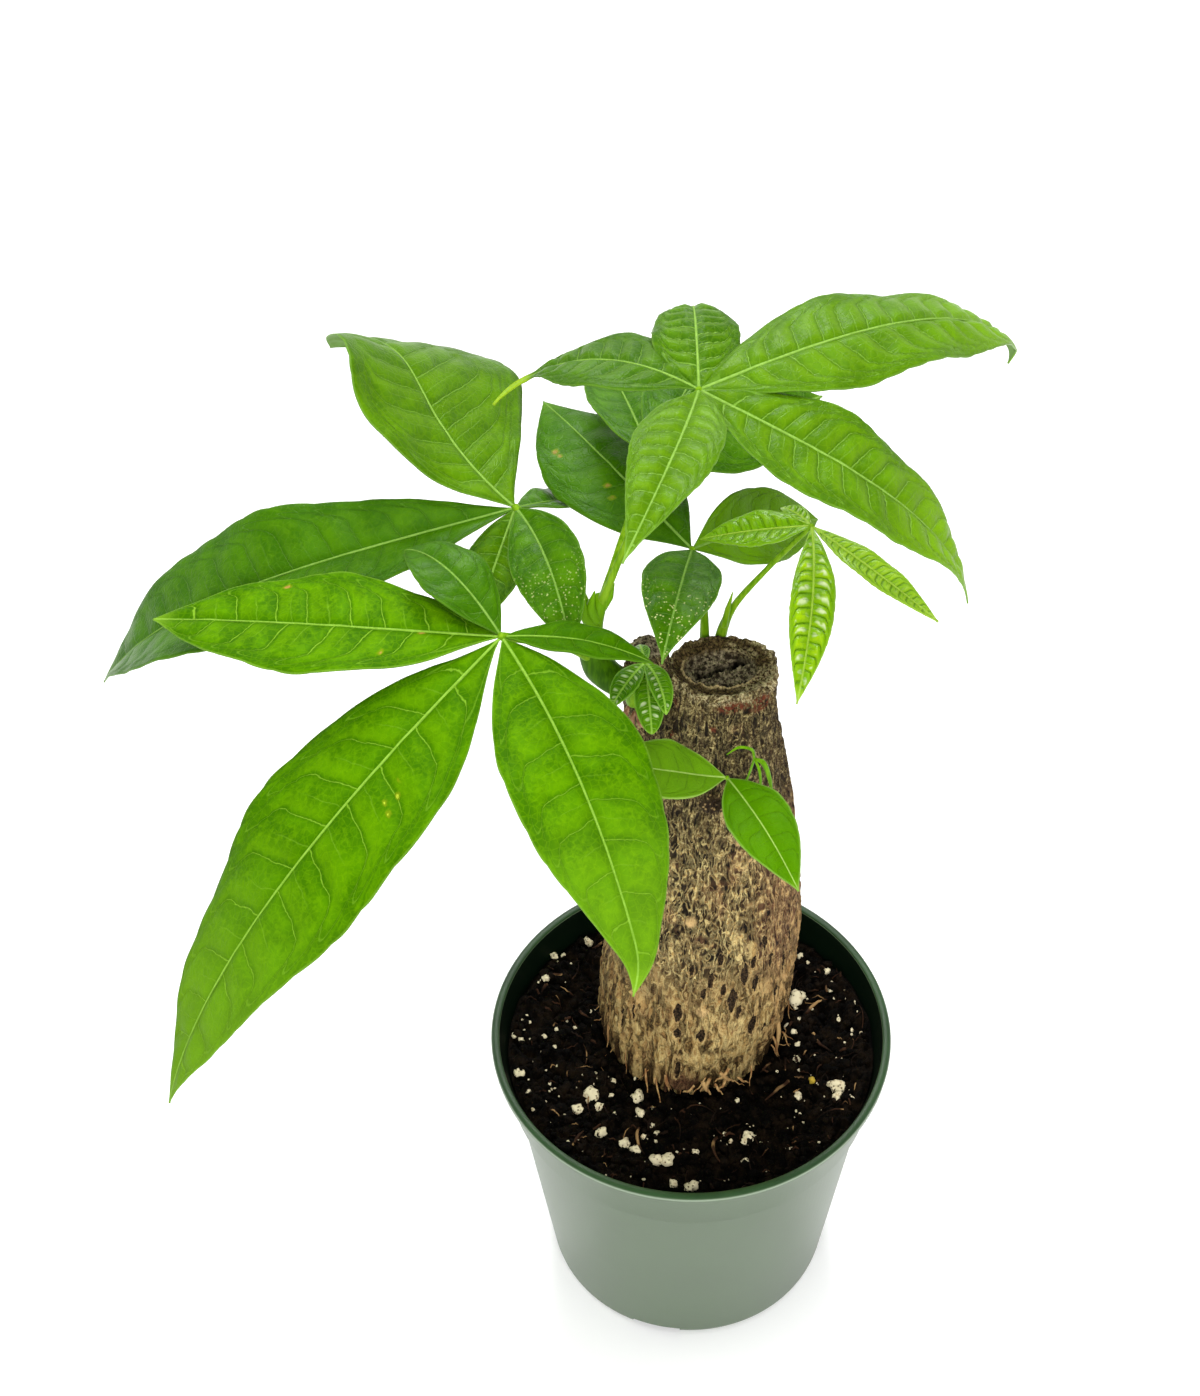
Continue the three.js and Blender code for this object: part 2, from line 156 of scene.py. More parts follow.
def smoothPath(points, count):  # a smooth curve through the points, in count steps
    p = [np.array(v, float) for v in points]
    p = [2 * p[0] - p[1]] + p + [2 * p[-1] - p[-2]]
    last = len(points) - 1
    path = []
    for n in range(count + 1):
        place = last * n / count
        i = min(int(place), last - 1)
        w = place - i
        a, b, c, d = p[i:i + 4]
        da, db, dc = (max(np.linalg.norm(v) ** 0.5, 1e-4) for v in (b - a, c - b, d - c))
        leave = ((b - a) / da - (c - a) / (da + db) + (c - b) / db) * db
        arrive = ((c - b) / db - (d - b) / (db + dc) + (d - c) / dc) * db
        path.append(b * (2 * w**3 - 3 * w**2 + 1) + c * (3 * w**2 - 2 * w**3)
                    + leave * (w**3 - 2 * w**2 + w) + arrive * (w**3 - w**2))
    return np.array(path)


def tube(name, path, radii, material, roundness, roundEnds=True):  # a round stem along a path
    path = np.asarray(path, float)
    radii = np.interp(np.linspace(0, 1, len(path)), np.linspace(0, 1, len(radii)), radii)
    if roundEnds:
        head, tail = path[0] - path[1], path[-1] - path[-2]
        head, tail = head / np.linalg.norm(head), tail / np.linalg.norm(tail)
        caps = [(0.9, 0.25), (0.68, 0.68), (0.35, 0.92)]
        front = [path[0] + head * radii[0] * out for out, _ in caps]
        back = [path[-1] + tail * radii[-1] * out for out, _ in caps[::-1]]
        path = np.concatenate([front, path, back])
        shares = np.array([share for _, share in caps])
        radii = np.concatenate([radii[0] * shares, radii, radii[-1] * shares[::-1]])
    dropSelection()
    bpy.ops.curve.primitive_nurbs_path_add()
    line = bpy.context.object
    line.data.splines.clear()
    spline = line.data.splines.new("POLY")
    spline.points.add(len(path) - 1)
    for point, place, radius in zip(spline.points, path, radii):
        point.co = (*(place * mm), 1)
        point.radius = radius
    line.data.bevel_depth = mm
    line.data.bevel_resolution = roundness
    line.data.use_fill_caps = True
    line.data.materials.append(material)
    pick(line)
    bpy.ops.object.convert(target="MESH")
    stem = bpy.context.object
    stem.name = name
    roundFaces(stem.data)
    return stem


# Material building: a node's inputs may be numbers, colours or other nodes' outputs

def paint(red, green, blue):  # a tone as it looks under this studio's light, 0-255, to a base colour
    def lin(v):
        v /= 255
        v = v / 12.92 if v <= 0.04045 else ((v + 0.055) / 1.055) ** 2.4
        return min(v / lightPlan["exposure"], 0.95)
    return (lin(red), lin(green), lin(blue), 1)


def newMaterial(name, **sockets):
    material = bpy.data.materials.new(name)
    material.use_nodes = True
    for socket, value in sockets.items():
        shaderOf(material).inputs[socket.replace("_", " ")].default_value = value
    return material


def shaderOf(material):
    return material.node_tree.nodes["Principled BSDF"]


def feed(owner, socket, value):
    if isinstance(value, bpy.types.NodeSocket):
        owner.node_tree.links.new(value, socket)
    else:
        socket.default_value = value


def wear(material, name, value):  # on the material's own shader
    feed(material, shaderOf(material).inputs[name], value)


def put(owner, kind, inputs=None, **settings):  # a new node of a material, or of the world
    node = owner.node_tree.nodes.new(kind)
    for key, value in settings.items():
        setattr(node, key, value)
    for key, value in (inputs or {}).items():
        feed(owner, node.inputs[key], value)
    return node


def sums(material, operation, first, second=0, third=0):
    node = put(material, "ShaderNodeMath", {0: first, 1: second, 2: third}, operation=operation)
    return node.outputs[0]


def chain(material, operation, values):
    total = values[0]
    for value in values[1:]:
        total = sums(material, operation, total, value)
    return total


def times(material, *values):
    return chain(material, "MULTIPLY", values)


def most(material, *values):
    return chain(material, "MAXIMUM", values)


def least(material, *values):
    return chain(material, "MINIMUM", values)


def plus(material, *values):
    return chain(material, "ADD", values)


def minus(material, first, second):
    return sums(material, "SUBTRACT", first, second)


def linear(material, value, gain, start):  # value times gain, plus start
    return sums(material, "MULTIPLY_ADD", value, gain, start)


def unsigned(material, value):
    return sums(material, "ABSOLUTE", value)


def ramp(material, value, low, high, bottom=0, top=1):  # smooth step from bottom to top
    node = put(material, "ShaderNodeMapRange", {
        "Value": value, "From Min": low, "From Max": high, "To Min": bottom, "To Max": top,
    }, interpolation_type="SMOOTHSTEP")
    return node.outputs["Result"]


def blend(material, amount, under, over):  # a tone is a node's output, or three numbers for paint
    under, over = (paint(*tone) if isinstance(tone, tuple) else tone for tone in (under, over))
    node = put(material, "ShaderNodeMix", {0: amount, 6: under, 7: over}, data_type="RGBA")
    return node.outputs[2]


def apart(material, vector):
    return put(material, "ShaderNodeSeparateXYZ", {0: vector}).outputs


def readTag(material, name):  # the three columns that tag has kept
    return apart(material, put(material, "ShaderNodeAttribute", attribute_name=name).outputs["Vector"])


def joinVector(material, x, y, z):
    return put(material, "ShaderNodeCombineXYZ", {0: x, 1: y, 2: z}).outputs[0]


def cloud(material, vector, scale, detail=3, rough=0.55, warp=0):
    node = put(material, "ShaderNodeTexNoise", {
        "Vector": vector, "Scale": scale, "Detail": detail, "Roughness": rough, "Distortion": warp,
    })
    return node.outputs[0]


def cells(material, vector, scale, feature="DISTANCE_TO_EDGE"):  # F1 measures from the middle instead
    node = put(material, "ShaderNodeTexVoronoi", {"Vector": vector, "Scale": scale}, feature=feature)
    return node.outputs["Distance"]


def inMillimetres(material, stretch=(1, 1, 1)):  # object coordinates, in mm, stretched where asked
    place = put(material, "ShaderNodeTexCoord").outputs["Object"]
    size = tuple(s / mm for s in stretch)
    return put(material, "ShaderNodeMapping", {"Vector": place, "Scale": size}).outputs[0]


def relief(material, height, strength):  # height in mm
    bump = put(material, "ShaderNodeBump", {"Height": height, "Strength": strength, "Distance": mm})
    wear(material, "Normal", bump.outputs[0])


def plainSkin(name, tone, other, rough, levels=None, above=None):  # above: the tone over the two levels
    m = newMaterial(name, Roughness=rough, Specular_IOR_Level=0.06)
    streak = cloud(m, inMillimetres(m, (1, 1, 0.15)), 0.9, 3)
    colour = blend(m, ramp(m, streak, 0.35, 0.65), tone, other)
    if above:
        z = apart(m, inMillimetres(m))[2]
        colour = blend(m, ramp(m, z, *levels), colour, above)
    wear(m, "Base Color", colour)
    relief(m, times(m, streak, 0.12), 0.7)
    return m


# Camera and light

cameraPlan = {
    "place": (0, -517.2, 796.3), "forward": (-0.0324, 0.6792, -0.7333), "up": (-0.0193, 0.7331, 0.6798),
    "sensor": 36, "focal": 3000 / 1396,  # the focal length is given in heights of the picture
}


def makeCamera():
    dropSelection()
    bpy.ops.object.camera_add()
    camera = bpy.context.object
    back = -Vector(cameraPlan["forward"]).normalized()
    right = Vector(cameraPlan["up"]).cross(back).normalized()
    turn = Matrix((right, back.cross(right), back)).transposed().to_4x4()
    camera.matrix_world = Matrix.Translation(Vector(cameraPlan["place"]) * mm) @ turn
    camera.data.lens = cameraPlan["sensor"] * cameraPlan["focal"]
    camera.data.sensor_width = cameraPlan["sensor"]
    camera.data.clip_start = 0.01
    bpy.context.scene.camera = camera


lightPlan = {
    "exposure": 1.42, "skyLow": 1.0, "skyHigh": 0.16,  # the sky is brighter near the horizon
    "lamps": [  # name, place, target, size, power, whether it shows in glossy things
        ("topBox", (-0.1, 0.1, 1.7), (0, 0, 0.2), 1.5, 30, False),
        ("backBox", (-0.1, 0.9, 1.1), (0, 0, 0.25), 0.4, 8, True),
        ("frontBox", (0.05, -1.2, 1.0), (0, 0, 0.15), 0.9, 17, False),
    ],
}


def makeLamp(name, place, target, size, power, shows):
    dropSelection()
    bpy.ops.object.light_add(type="AREA")
    lamp = bpy.context.object
    lamp.name = name
    lamp.data.shape = "SQUARE"
    lamp.data.size = size
    lamp.data.energy = power
    aim = (Vector(target) - Vector(place)).to_track_quat("-Z", "Y")
    lamp.matrix_world = Matrix.Translation(place) @ aim.to_matrix().to_4x4()
    lamp.visible_glossy = shows


def makeStudio():
    world = bpy.data.worlds.new("studio")
    bpy.context.scene.world = world
    world.use_nodes = True
    shell = world.node_tree.nodes["Background"]
    look = put(world, "ShaderNodeTexCoord").outputs["Generated"]
    z = apart(world, look)[2]
    sky = ramp(world, z, 0.25, 0.6, lightPlan["skyLow"], lightPlan["skyHigh"])
    feed(world, shell.inputs["Strength"], sky)
    shell.inputs["Color"].default_value = (1, 1, 1, 1)
    for lamp in lightPlan["lamps"]:
        makeLamp(*lamp)
    dropSelection()
    bpy.ops.mesh.primitive_plane_add(size=6)
    floor = bpy.context.object
    floor.name = "floor"
    white = newMaterial("paleFloor", Base_Color=(0.95, 0.95, 0.95, 1), Roughness=0.9, Emission_Strength=0.1,
                        Emission_Color=(1, 1, 1, 1))
    floor.data.materials.append(white)
    bpy.context.scene.view_settings.view_transform = "Standard"


makeCamera()
makeStudio()
print("camera and studio set")


# The pot

potPlan = {
    "height": 98, "rimHeight": 3, "collarFoot": 78, "chamfer": 3.5, "wall": 1.3, "floor": 2, "sides": 160,
    "rimRadius": 57.5, "lipInner": 55.1, "collarTop": 55, "collarFootRadius": 53, "bodyTop": 51.3,
    "bodyFoot": 41.6, "base": 39.4,  # radii, from the rim down
    "drains": 3, "drainWidth": 14.8, "drainHeight": 4, "drainTurn": -102.5, "lipFoot": 2.5,
    # outside is the lip's plastic made lighter, for dust and a painted sheen; inside is the same plastic
    # painted near-black, a painted shade
    "outside": (68, 95, 54), "lip": (38, 68, 34), "inside": (6, 20, 9),
}


def potPlastic():
    m = newMaterial("potPlastic", Specular_IOR_Level=1)
    place = put(m, "ShaderNodeTexCoord").outputs["Object"]
    z = apart(m, place)[2]
    broad, fine = cloud(m, inMillimetres(m), 0.04, 3), cloud(m, inMillimetres(m), 1.6, 2)
    # the outer wall: the lip's plastic with dust and a painted sheen of the bright surroundings
    outside = blend(m, ramp(m, broad, 0.35, 0.7), potPlan["outside"], (65, 91, 51))
    # a thin darker line just below the collar step: painted shade
    underCollar = unsigned(m, minus(m, z, (potPlan["collarFoot"] + 0.1) * mm))
    outside = blend(m, ramp(m, underCollar, 0.2 * mm, 0.7 * mm, 0.4, 0), outside, (48, 68, 38))
    lipFoot = (potPlan["height"] - potPlan["rimHeight"] + potPlan["lipFoot"]) * mm
    lip = blend(m, ramp(m, broad, 0.4, 0.6), potPlan["lip"], (46, 80, 40))
    tone = blend(m, ramp(m, z, lipFoot, lipFoot + 0.3 * mm), outside, lip)
    # a thin pale line just below the lip's foot: a painted highlight
    underLip = unsigned(m, minus(m, z, lipFoot - 0.4 * mm))
    tone = blend(m, ramp(m, underLip, 0.1 * mm, 0.5 * mm, 0.5, 0), tone, (176, 196, 168))
    scuffs = ramp(m, cloud(m, inMillimetres(m, (1, 1, 0.5)), 0.5, 4, 0.7, 1.5), 0.7, 0.74, 0, 0.5)
    tone = blend(m, scuffs, tone, (74, 88, 68))
    wear(m, "Base Color", tone)
    wear(m, "Roughness", ramp(m, z, lipFoot - 1 * mm, lipFoot + 0.3 * mm, 0.36, 0.5))
    gloss = ramp(m, z, lipFoot - 0.2 * mm, lipFoot + 0.3 * mm, 1, 0.5)
    wear(m, "Specular IOR Level", gloss)
    relief(m, times(m, fine, 0.02), 0.6)
    return m


def makePot():
    p = potPlan
    top, rimFoot, foot, inset = p["height"], p["height"] - p["rimHeight"], p["collarFoot"], p["wall"]
    base, bodyFoot, bodyTop = p["base"], p["bodyFoot"], p["bodyTop"]
    collarFoot, collarTop, rim, lip = p["collarFootRadius"], p["collarTop"], p["rimRadius"], p["lipInner"]
    profile = [  # radius and height: up the outside, over the lip and down the inside
        (base + 0.5, 0.35), (bodyFoot - 0.2, p["chamfer"] - 0.7), (bodyFoot + 0.1, p["chamfer"] + 0.6),
        (bodyTop - 0.1, foot - 0.8), (bodyTop + 0.3, foot),
        (collarFoot - 0.5, foot + 0.5), (collarFoot, foot + 1.3), (collarTop, rimFoot - 0.6),
        (collarTop + 0.3, rimFoot), (rim - 0.6, rimFoot + 0.1), (rim - 0.2, rimFoot + 0.5),
        (rim, top - 0.9), (rim - 0.25, top - 0.3), (rim - 0.7, top),
        (lip + 0.5, top), (lip + 0.15, top - 0.2), (lip, top - 0.7),
        (collarTop - inset + 0.1, rimFoot - 1.5), (collarFoot - inset, foot + 0.8),
        (bodyTop - inset, foot - 0.8), (bodyFoot - inset, p["floor"] + 1.2),
        (bodyFoot - inset - 1.5, p["floor"]),
    ]
    dropSelection()
    bpy.ops.mesh.primitive_circle_add(vertices=p["sides"], radius=base * mm, fill_type="NGON")
    pot = bpy.context.object
    bpy.ops.object.mode_set(mode="EDIT")
    bpy.ops.mesh.select_mode(type="EDGE")
    bpy.ops.mesh.select_all(action="SELECT")
    radius, level = base, 0
    for nextRadius, nextLevel in profile:
        bpy.ops.mesh.extrude_edges_move(TRANSFORM_OT_translate={"value": (0, 0, (nextLevel - level) * mm)})
        scale = nextRadius / radius
        bpy.ops.transform.resize(value=(scale, scale, 1), center_override=(0, 0, nextLevel * mm))
        radius, level = nextRadius, nextLevel
    bpy.ops.mesh.edge_face_add()
    leaveEditing()
    for n in range(p["drains"]):
        turn = math.radians(p["drainTurn"] + 360 / p["drains"] * n)
        dropSelection()
        bpy.ops.mesh.primitive_cube_add(size=1)
        cutter = bpy.context.object
        size = Matrix.Diagonal((10 * mm, p["drainWidth"] * mm, p["drainHeight"] * 2 * mm, 1))
        cutter.matrix_world = Matrix.Rotation(turn, 4, "Z") @ Matrix.Translation((base * mm, 0, 0)) @ size
        cut = pot.modifiers.new("drain", "BOOLEAN")
        cut.operation = "DIFFERENCE"
        cut.solver = "EXACT"
        cut.object = cutter
        bakeModifiers(pot)
        bpy.data.objects.remove(cutter)
    pot.data.materials.append(potPlastic())
    # the inner wall and floor are the pot's own plastic painted near-black: painted shade
    inside = newMaterial("potInside", Base_Color=paint(*p["inside"]), Roughness=0.6, Specular_IOR_Level=0.12)
    pot.data.materials.append(inside)
    for face in pot.data.polygons:
        x, y, z = face.center
        inward = face.normal.x * x + face.normal.y * y < 0 and z < (top - 1.1) * mm
        onFloor = face.normal.z > 0.9 and z < 4 * mm
        if inward and z > (p["drainHeight"] + 0.4) * mm or onFloor:
            face.material_index = 1
    pick(pot)
    bpy.ops.object.shade_smooth_by_angle(angle=math.radians(40))
    pot.name = "plasticPot"
    seat(pot, "nursery_pot")


makePot()
print("pot made")


# Bark relief: a net of upright ridges with lens-shaped hollows between them

def barkNet(u, v, cellWide, cellTall, wrap, seed):  # distance from the nearest ridge, in cell widths
    spots = np.random.default_rng(seed).random((400, wrap, 2))
    gu, gv = u / cellWide, v / cellTall
    iu, iv = np.floor(gu).astype(int), np.floor(gv).astype(int)
    near = np.full((2, len(u)), 9.0)
    for du in (-1, 0, 1):
        for dv in (-1, 0, 1):
            spot = spots[(iv + dv) % len(spots), (iu + du) % wrap]
            away = np.hypot(iu + du + spot[:, 0] - gu, iv + dv + spot[:, 1] - gv)
            near = np.sort(np.concatenate([near, away[None]]), 0)[:2]
    return near[1] - near[0]


girth = 168  # mm round the trunk's pattern


def waves(u, v, size, seed, wrap=girth, count=9):  # soft and random, about size apart, closed round the stem
    total = np.zeros(len(u))
    turn = np.random.default_rng(seed)
    for _ in range(count):
        a, shift = turn.uniform(0, math.tau, 2)
        pace = math.tau / size * turn.uniform(0.6, 1.5)
        around = round(pace * math.cos(a) * wrap / math.tau) * math.tau / wrap
        total += np.sin(u * around + v * pace * math.sin(a) + shift)
    return total / (count / 2)


def bumps(points, scale, offset=(0, 0, 0)):  # a soft noise at each point, from -1 to 1
    return np.array([noise.noise(Vector(place) * scale + Vector(offset)) for place in points])


trunkPlan = {
    "rings": [  # height, centre x, centre y, half width x, half width y
        (62, 1.5, 13, 15, 14), (67, 1.4, 12.8, 20.5, 20.5), (76, 1.2, 12.6, 24.4, 25),
        (86, 1.1, 12.6, 26.2, 27), (97, 1.2, 13, 27.2, 27.2), (110, 1.7, 13.6, 27.2, 26.8),
        (126, 2.6, 14, 27, 26.4), (142, 3.2, 14, 26.4, 25.8), (160, 3.8, 14, 24.6, 24),
        (176, 4.4, 14, 22.4, 21.8), (190, 4.9, 14, 20.6, 20), (204, 5.3, 14, 17.9, 17.2),
        (218, 5.9, 14, 15.6, 14.8), (228.6, 6.3, 14.4, 14.5, 12.8), (234.4, 6.5, 14.6, 14.1, 12.1),
    ],
    "foot": (1.2, 12.7, 26.4, 27),  # where it enters the soil: centre and half widths
    "bottom": 62, "top": 234.4, "hollowDepth": 3.4, "slope": 0.09,
    "around": 264, "sideRows": 270, "topRows": 50,
    # pairs of heights between which something fades in
    "coarseNet": (148, 116), "flutes": (116, 92), "smoothFoot": (98, 91), "footDent": (108, 88),
    "slopeFrom": (205, 231), "roughRim": (228, 233), "paleRim": (231.6, 233.4),
    "footTone": (106, 92), "crownTone": (176, 206), "soilLineTone": (100, 88),
    # marks: angle round the trunk (degrees), height, half width, half height in mm
    "slitSize": 1.25,
    "slits": [(-58, 140.5, 0.9, 2.9), (-44, 137, 0.7, 4.3), (-64, 136.5, 1.25, 4.6), (-56, 131, 1.0, 3.7),
              (-71, 127, 1.35, 4.9), (-77, 132, 0.85, 2.9), (-30, 130, 1.0, 5.2), (-85, 137, 0.9, 3.2),
              (-89, 131, 0.8, 2.4), (-55, 112, 1.3, 4.4), (-88, 114, 1.2, 2.4), (-103, 122, 1.1, 4),
              (-102, 113, 1.2, 2.3), (-66, 121, 0.9, 2.8), (-22, 140, 0.7, 4.6), (-80, 145, 0.8, 2.8),
              (-143, 106, 0.5, 4), (-134, 113, 0.5, 3.6), (-50, 146, 0.6, 3.4), (-97, 141, 0.7, 2.4),
              (-37, 120, 0.8, 3.6), (-100, 98, 0.8, 2.6), (-45, 107, 0.7, 2.8), (20, 118, 1, 4),
              (70, 112, 1.2, 4), (130, 120, 1, 4)],
    "tanPatches": [(-66, 112, 8.5, 8), (-57, 103, 8, 6), (-86, 102, 7, 4.5), (-61, 146, 2.3, 4.6),
                   (-44, 112, 3, 8), (-146, 102, 2.4, 5), (-130, 107, 2, 3.4), (-112, 100, 2, 6)],
    "creamDots": [(-100, 160.5, 2.0, 2.4), (-71, 188, 1.2, 1.3), (-89, 124, 2.0, 2.5), (-62, 181, 1.1, 1.0),
                  (-91, 137.4, 0.6, 0.7)],
    "redPatches": [(-79, 231.8, 5.2, 2.2), (-48, 231.2, 4.2, 3.4), (-148, 228, 1.1, 1.2),
                   (-98, 225, 1.3, 1.2), (-143, 218.5, 0.9, 1.3), (-68, 113.5, 1.3, 1.3)],
    "scars": [(-93, 202, 5.2, 4.6)], "knobs": [(-97, 93, 6.0, 6.0)],
}


def inMarks(angle, z, radius, marks, pointed=False):  # 1 in the middle of a mark, 0 at its edge and beyond
    depth = np.zeros(len(z))
    for turn, height, halfWide, halfTall in marks:
        away = ((angle - math.radians(turn) + math.pi) % math.tau - math.pi) * radius / halfWide
        rise = (z - height) / halfTall
        reach = np.abs(away) + rise * rise if pointed else np.hypot(away, rise)
        depth = np.maximum(depth, np.clip(1 - reach, 0, 1))
    return ease(0, 0.55, depth)


def makeTrunk(bark):
    p = trunkPlan
    rows = p["sideRows"] + p["topRows"]
    sheet, along, turn = gridSheet("trunkBark", rows, p["around"])
    angle = (turn + 1.5) * math.pi  # the seam lies at the back
    row = np.rint(along * rows)
    table = np.array(p["rings"], float)
    side = np.clip(row / p["sideRows"], 0, 1)
    z = p["bottom"] + (p["top"] - p["bottom"]) * side**0.96
    x0, y0, halfX, halfY = (smoothTable(z, table[:, 0], table[:, k]) for k in (1, 2, 3, 4))
    inward = np.clip((row - p["sideRows"]) / p["topRows"], 0, 1)
    drop = p["hollowDepth"]
    steps = [0, 0.04, 0.10, 0.26, 0.34, 0.40, 0.52, 1]  # the broken rim, the ring inside it, the hollow
    share = np.interp(inward, steps, [1, 0.97, 0.92, 0.76, 0.70, 0.64, 0.52, 0])
    sink = np.interp(inward, steps, [0, -0.9, -0.7, 0.7, 0.3, drop * 0.8, drop, drop * 0.9])
    share = share * np.interp(row, [0, 3], [0.05, 1])
    radius = (halfX + halfY) / 2
    u, v = (angle / math.tau * girth) % girth, z
    wander = waves(u, v, 34, 5) * 1.4
    lower = ease(*p["coarseNet"], z + waves(u, v, 30, 8) * 8)
    fine = barkNet(u + wander * 0.6, v + waves(u, v, 9, 12) * 0.8, 1.75, 6.4, 96, 21)
    coarse = barkNet(u + wander, v + wander * 2, 3.0, 10.5, 56, 22)
    fineRidge, coarseRidge = 1 - ease(0.02, 0.3, fine), 1 - ease(0.02, 0.24, coarse)
    ridge = np.clip(fineRidge * (1 - 0.75 * lower) + coarseRidge * (0.3 + 0.7 * lower), 0, 1)
    size = p["slitSize"]
    slitMarks = [(turn, height, wide * size, tall * size) for turn, height, wide, tall in p["slits"]]
    slits = inMarks(angle, z, radius, slitMarks, True)
    kinds = "tanPatches", "creamDots", "redPatches", "knobs", "scars"
    tan, cream, red, knob, scar = (inMarks(angle, z, radius, p[kind]) for kind in kinds)
    out = 0.4 * np.sin(3 * angle + z * 0.05) + 0.3 * np.sin(5 * angle - z * 0.09)
    out += waves(u, v, 22, 33) * 0.35 + waves(u, v * 0.4, 4, 31) * 0.16 + waves(u, v * 0.5, 2.2, 32) * 0.1
    out += (ridge - 0.4) * (0.5 + 0.3 * lower) * (1 - 0.8 * tan) * (1 - 0.7 * ease(*p["smoothFoot"], z))
    flutes = np.abs(np.sin(u * 33 * math.pi / girth + waves(u, v * 0.3, 20, 36) * 1.7)) - 0.6
    out += ease(*p["flutes"], z) * 0.8 * flutes * (1 - 0.7 * tan)
    out += -1.0 * slits + 0.3 * tan + 0.5 * cream + scar * (1.4 + waves(u, v, 2.6, 35) * 0.5) + 2.2 * knob
    out -= 3.2 * ease(*p["footDent"], z) * ease(0.35, 0.95, np.cos(angle + 0.75))
    topZone = ease(0.0, 0.05, inward)  # from here on, the cut top
    out += ease(*p["roughRim"], z) * (1 - topZone) * (0.1 + waves(u, v, 6, 37) * 0.4)
    out *= 1 - topZone
    cx, cy = np.cos(angle), np.sin(angle)
    flatX = cx * halfX * share - 2.0 * (1 - share)
    flatY = cy * halfY * share * (1 - 0.12 * ease(0.92, 0.66, share)) + 2.2 * (1 - share)
    hollow = ease(0.34, 0.40, inward)
    crack = -0.45 * flatX + 0.89 * flatY - 3.0 + 0.5 * np.sin(flatX * 1.1)
    slot = hollow * ease(2.0, 0.9, np.abs(crack)) * ease(7.4, 5.6, np.abs(flatX + 0.4))
    fringe = topZone * (1 - hollow)
    knots = np.stack([flatX, flatY, z * 0], 1)
    pits = bumps(knots, 0.75) + 0.6 * bumps(knots, 1.9)
    leftFront, rightFront = np.cos(angle + 2.5), np.cos(angle + 0.5)  # sides of the rim, by the turn
    edge = np.exp(-(((share - 0.95) / 0.045) ** 2)) * topZone + ease(*p["paleRim"], z) * (1 - topZone)
    edge = edge * ease(-0.6, 0.3, np.maximum(leftFront, rightFront))
    innerRing = np.exp(-(((share - 0.71) / 0.024) ** 2)) * topZone * ease(-0.15, 0.3, np.cos(angle + 2.1))
    tanBank = topZone * (1 - hollow) * ease(0.72, 0.9, rightFront + 0.12 * pits)
    backBank = ease(0.86, 0.96, np.cos(angle - 1.0)) * ease(0.6, 0.66, share) * ease(0.86, 0.78, share)
    backBank *= topZone
    face = topZone * (pits * 0.7 + bumps(knots, 0.36) * 1.3)
    face += hollow * (pits * 0.4 + ease(-0.6, -2.6, crack) * 0.8)
    px, py = x0 + flatX + cx * out, y0 + flatY + cy * out
    tilt = -p["slope"] * flatY * ease(*p["slopeFrom"], z)
    pz = z + tilt - sink + face - slot * 3.4
    return wrapBark(sheet, np.stack([px, py, pz], 1), bark, {
        "barkPlace": (v, fringe, hollow), "barkRelief": (slits, tan, scar), "barkMarks": (cream, red, slot),
        "barkWear": (knob, lower), "barkRim": (edge, innerRing, np.maximum(tanBank, backBank)),
    })


def wrapBark(sheet, points, bark, tags):  # moves the sheet to the points and closes its seams
    writePoints(sheet, points)
    pick(sheet)
    bpy.ops.object.mode_set(mode="EDIT")
    bpy.ops.mesh.select_all(action="SELECT")
    bpy.ops.mesh.remove_doubles(threshold=0.02 * mm)
    leaveEditing()
    roundFaces(sheet.data)
    tree = KDTree(len(points))
    for n, place in enumerate(points):
        tree.insert(place, n)
    tree.balance()
    match = np.array([tree.find(place)[1] for place in readPoints(sheet)])  # which points are left
    for name, columns in tags.items():
        tag(sheet, name, *(column[match] for column in columns))
    sheet.data.materials.append(bark)
    return sheet


stubPlan = {
    "points": [(-3, 13, 198), (-9.2, 13, 213), (-12.2, 13, 227), (-12.9, 13, 236), (-12.6, 13.5, 242.5)],
    "radii": [9, 8.6, 6.6, 5.6, 4.6], "girth": 44, "length": 48, "body": 0.86,  # body: share below the top
    "toneHeight": 190, "around": 80, "rows": 90,  # its bark has the tones of the trunk from this height up
}


def makeStub(bark):
    p = stubPlan
    sheet, along, turn = gridSheet("stubBark", p["rows"], p["around"])
    path = smoothPath(p["points"], 100)
    body = np.clip(along / p["body"], 0, 1)
    over = np.clip((along - p["body"]) / (1 - p["body"]), 0, 1)
    mid = np.stack([np.interp(body, np.linspace(0, 1, 101), path[:, k]) for k in range(3)], 1)
    size = np.interp(body, np.linspace(0, 1, 5), p["radii"]) * (1 - over)
    size = size * np.interp(along, [0, 0.02], [0.3, 1])
    angle = (turn + 1) * math.pi
    wrap = p["girth"]
    u, v = angle / math.tau * wrap, body * p["length"]
    ridge = 1 - ease(0.02, 0.32, barkNet(u + waves(u, v, 20, 3, wrap), v, 1.83, 5.4, 24, 51))
    out = (ridge - 0.4) * 0.5 + waves(u, v, 6, 52, wrap) * 0.3 + waves(u, v, 14, 53, wrap) * 0.4
    out *= 1 - over
    crag = waves(u, along * 90, 3.2, 54, wrap) + waves(u, along * 50, 7, 55, wrap) * 0.8
    crag = over * crag * (1 - over**6)
    reach = size + out
    points = mid + np.stack([np.cos(angle) * reach, np.sin(angle) * reach, 2 * np.sin(over * 1.57) + crag], 1)
    return wrapBark(sheet, points, bark, {
        "barkPlace": (v + p["toneHeight"], over * 0, ease(0, 0.2, over)),
        "barkRelief": (), "barkMarks": (), "barkWear": (), "barkRim": (),
    })


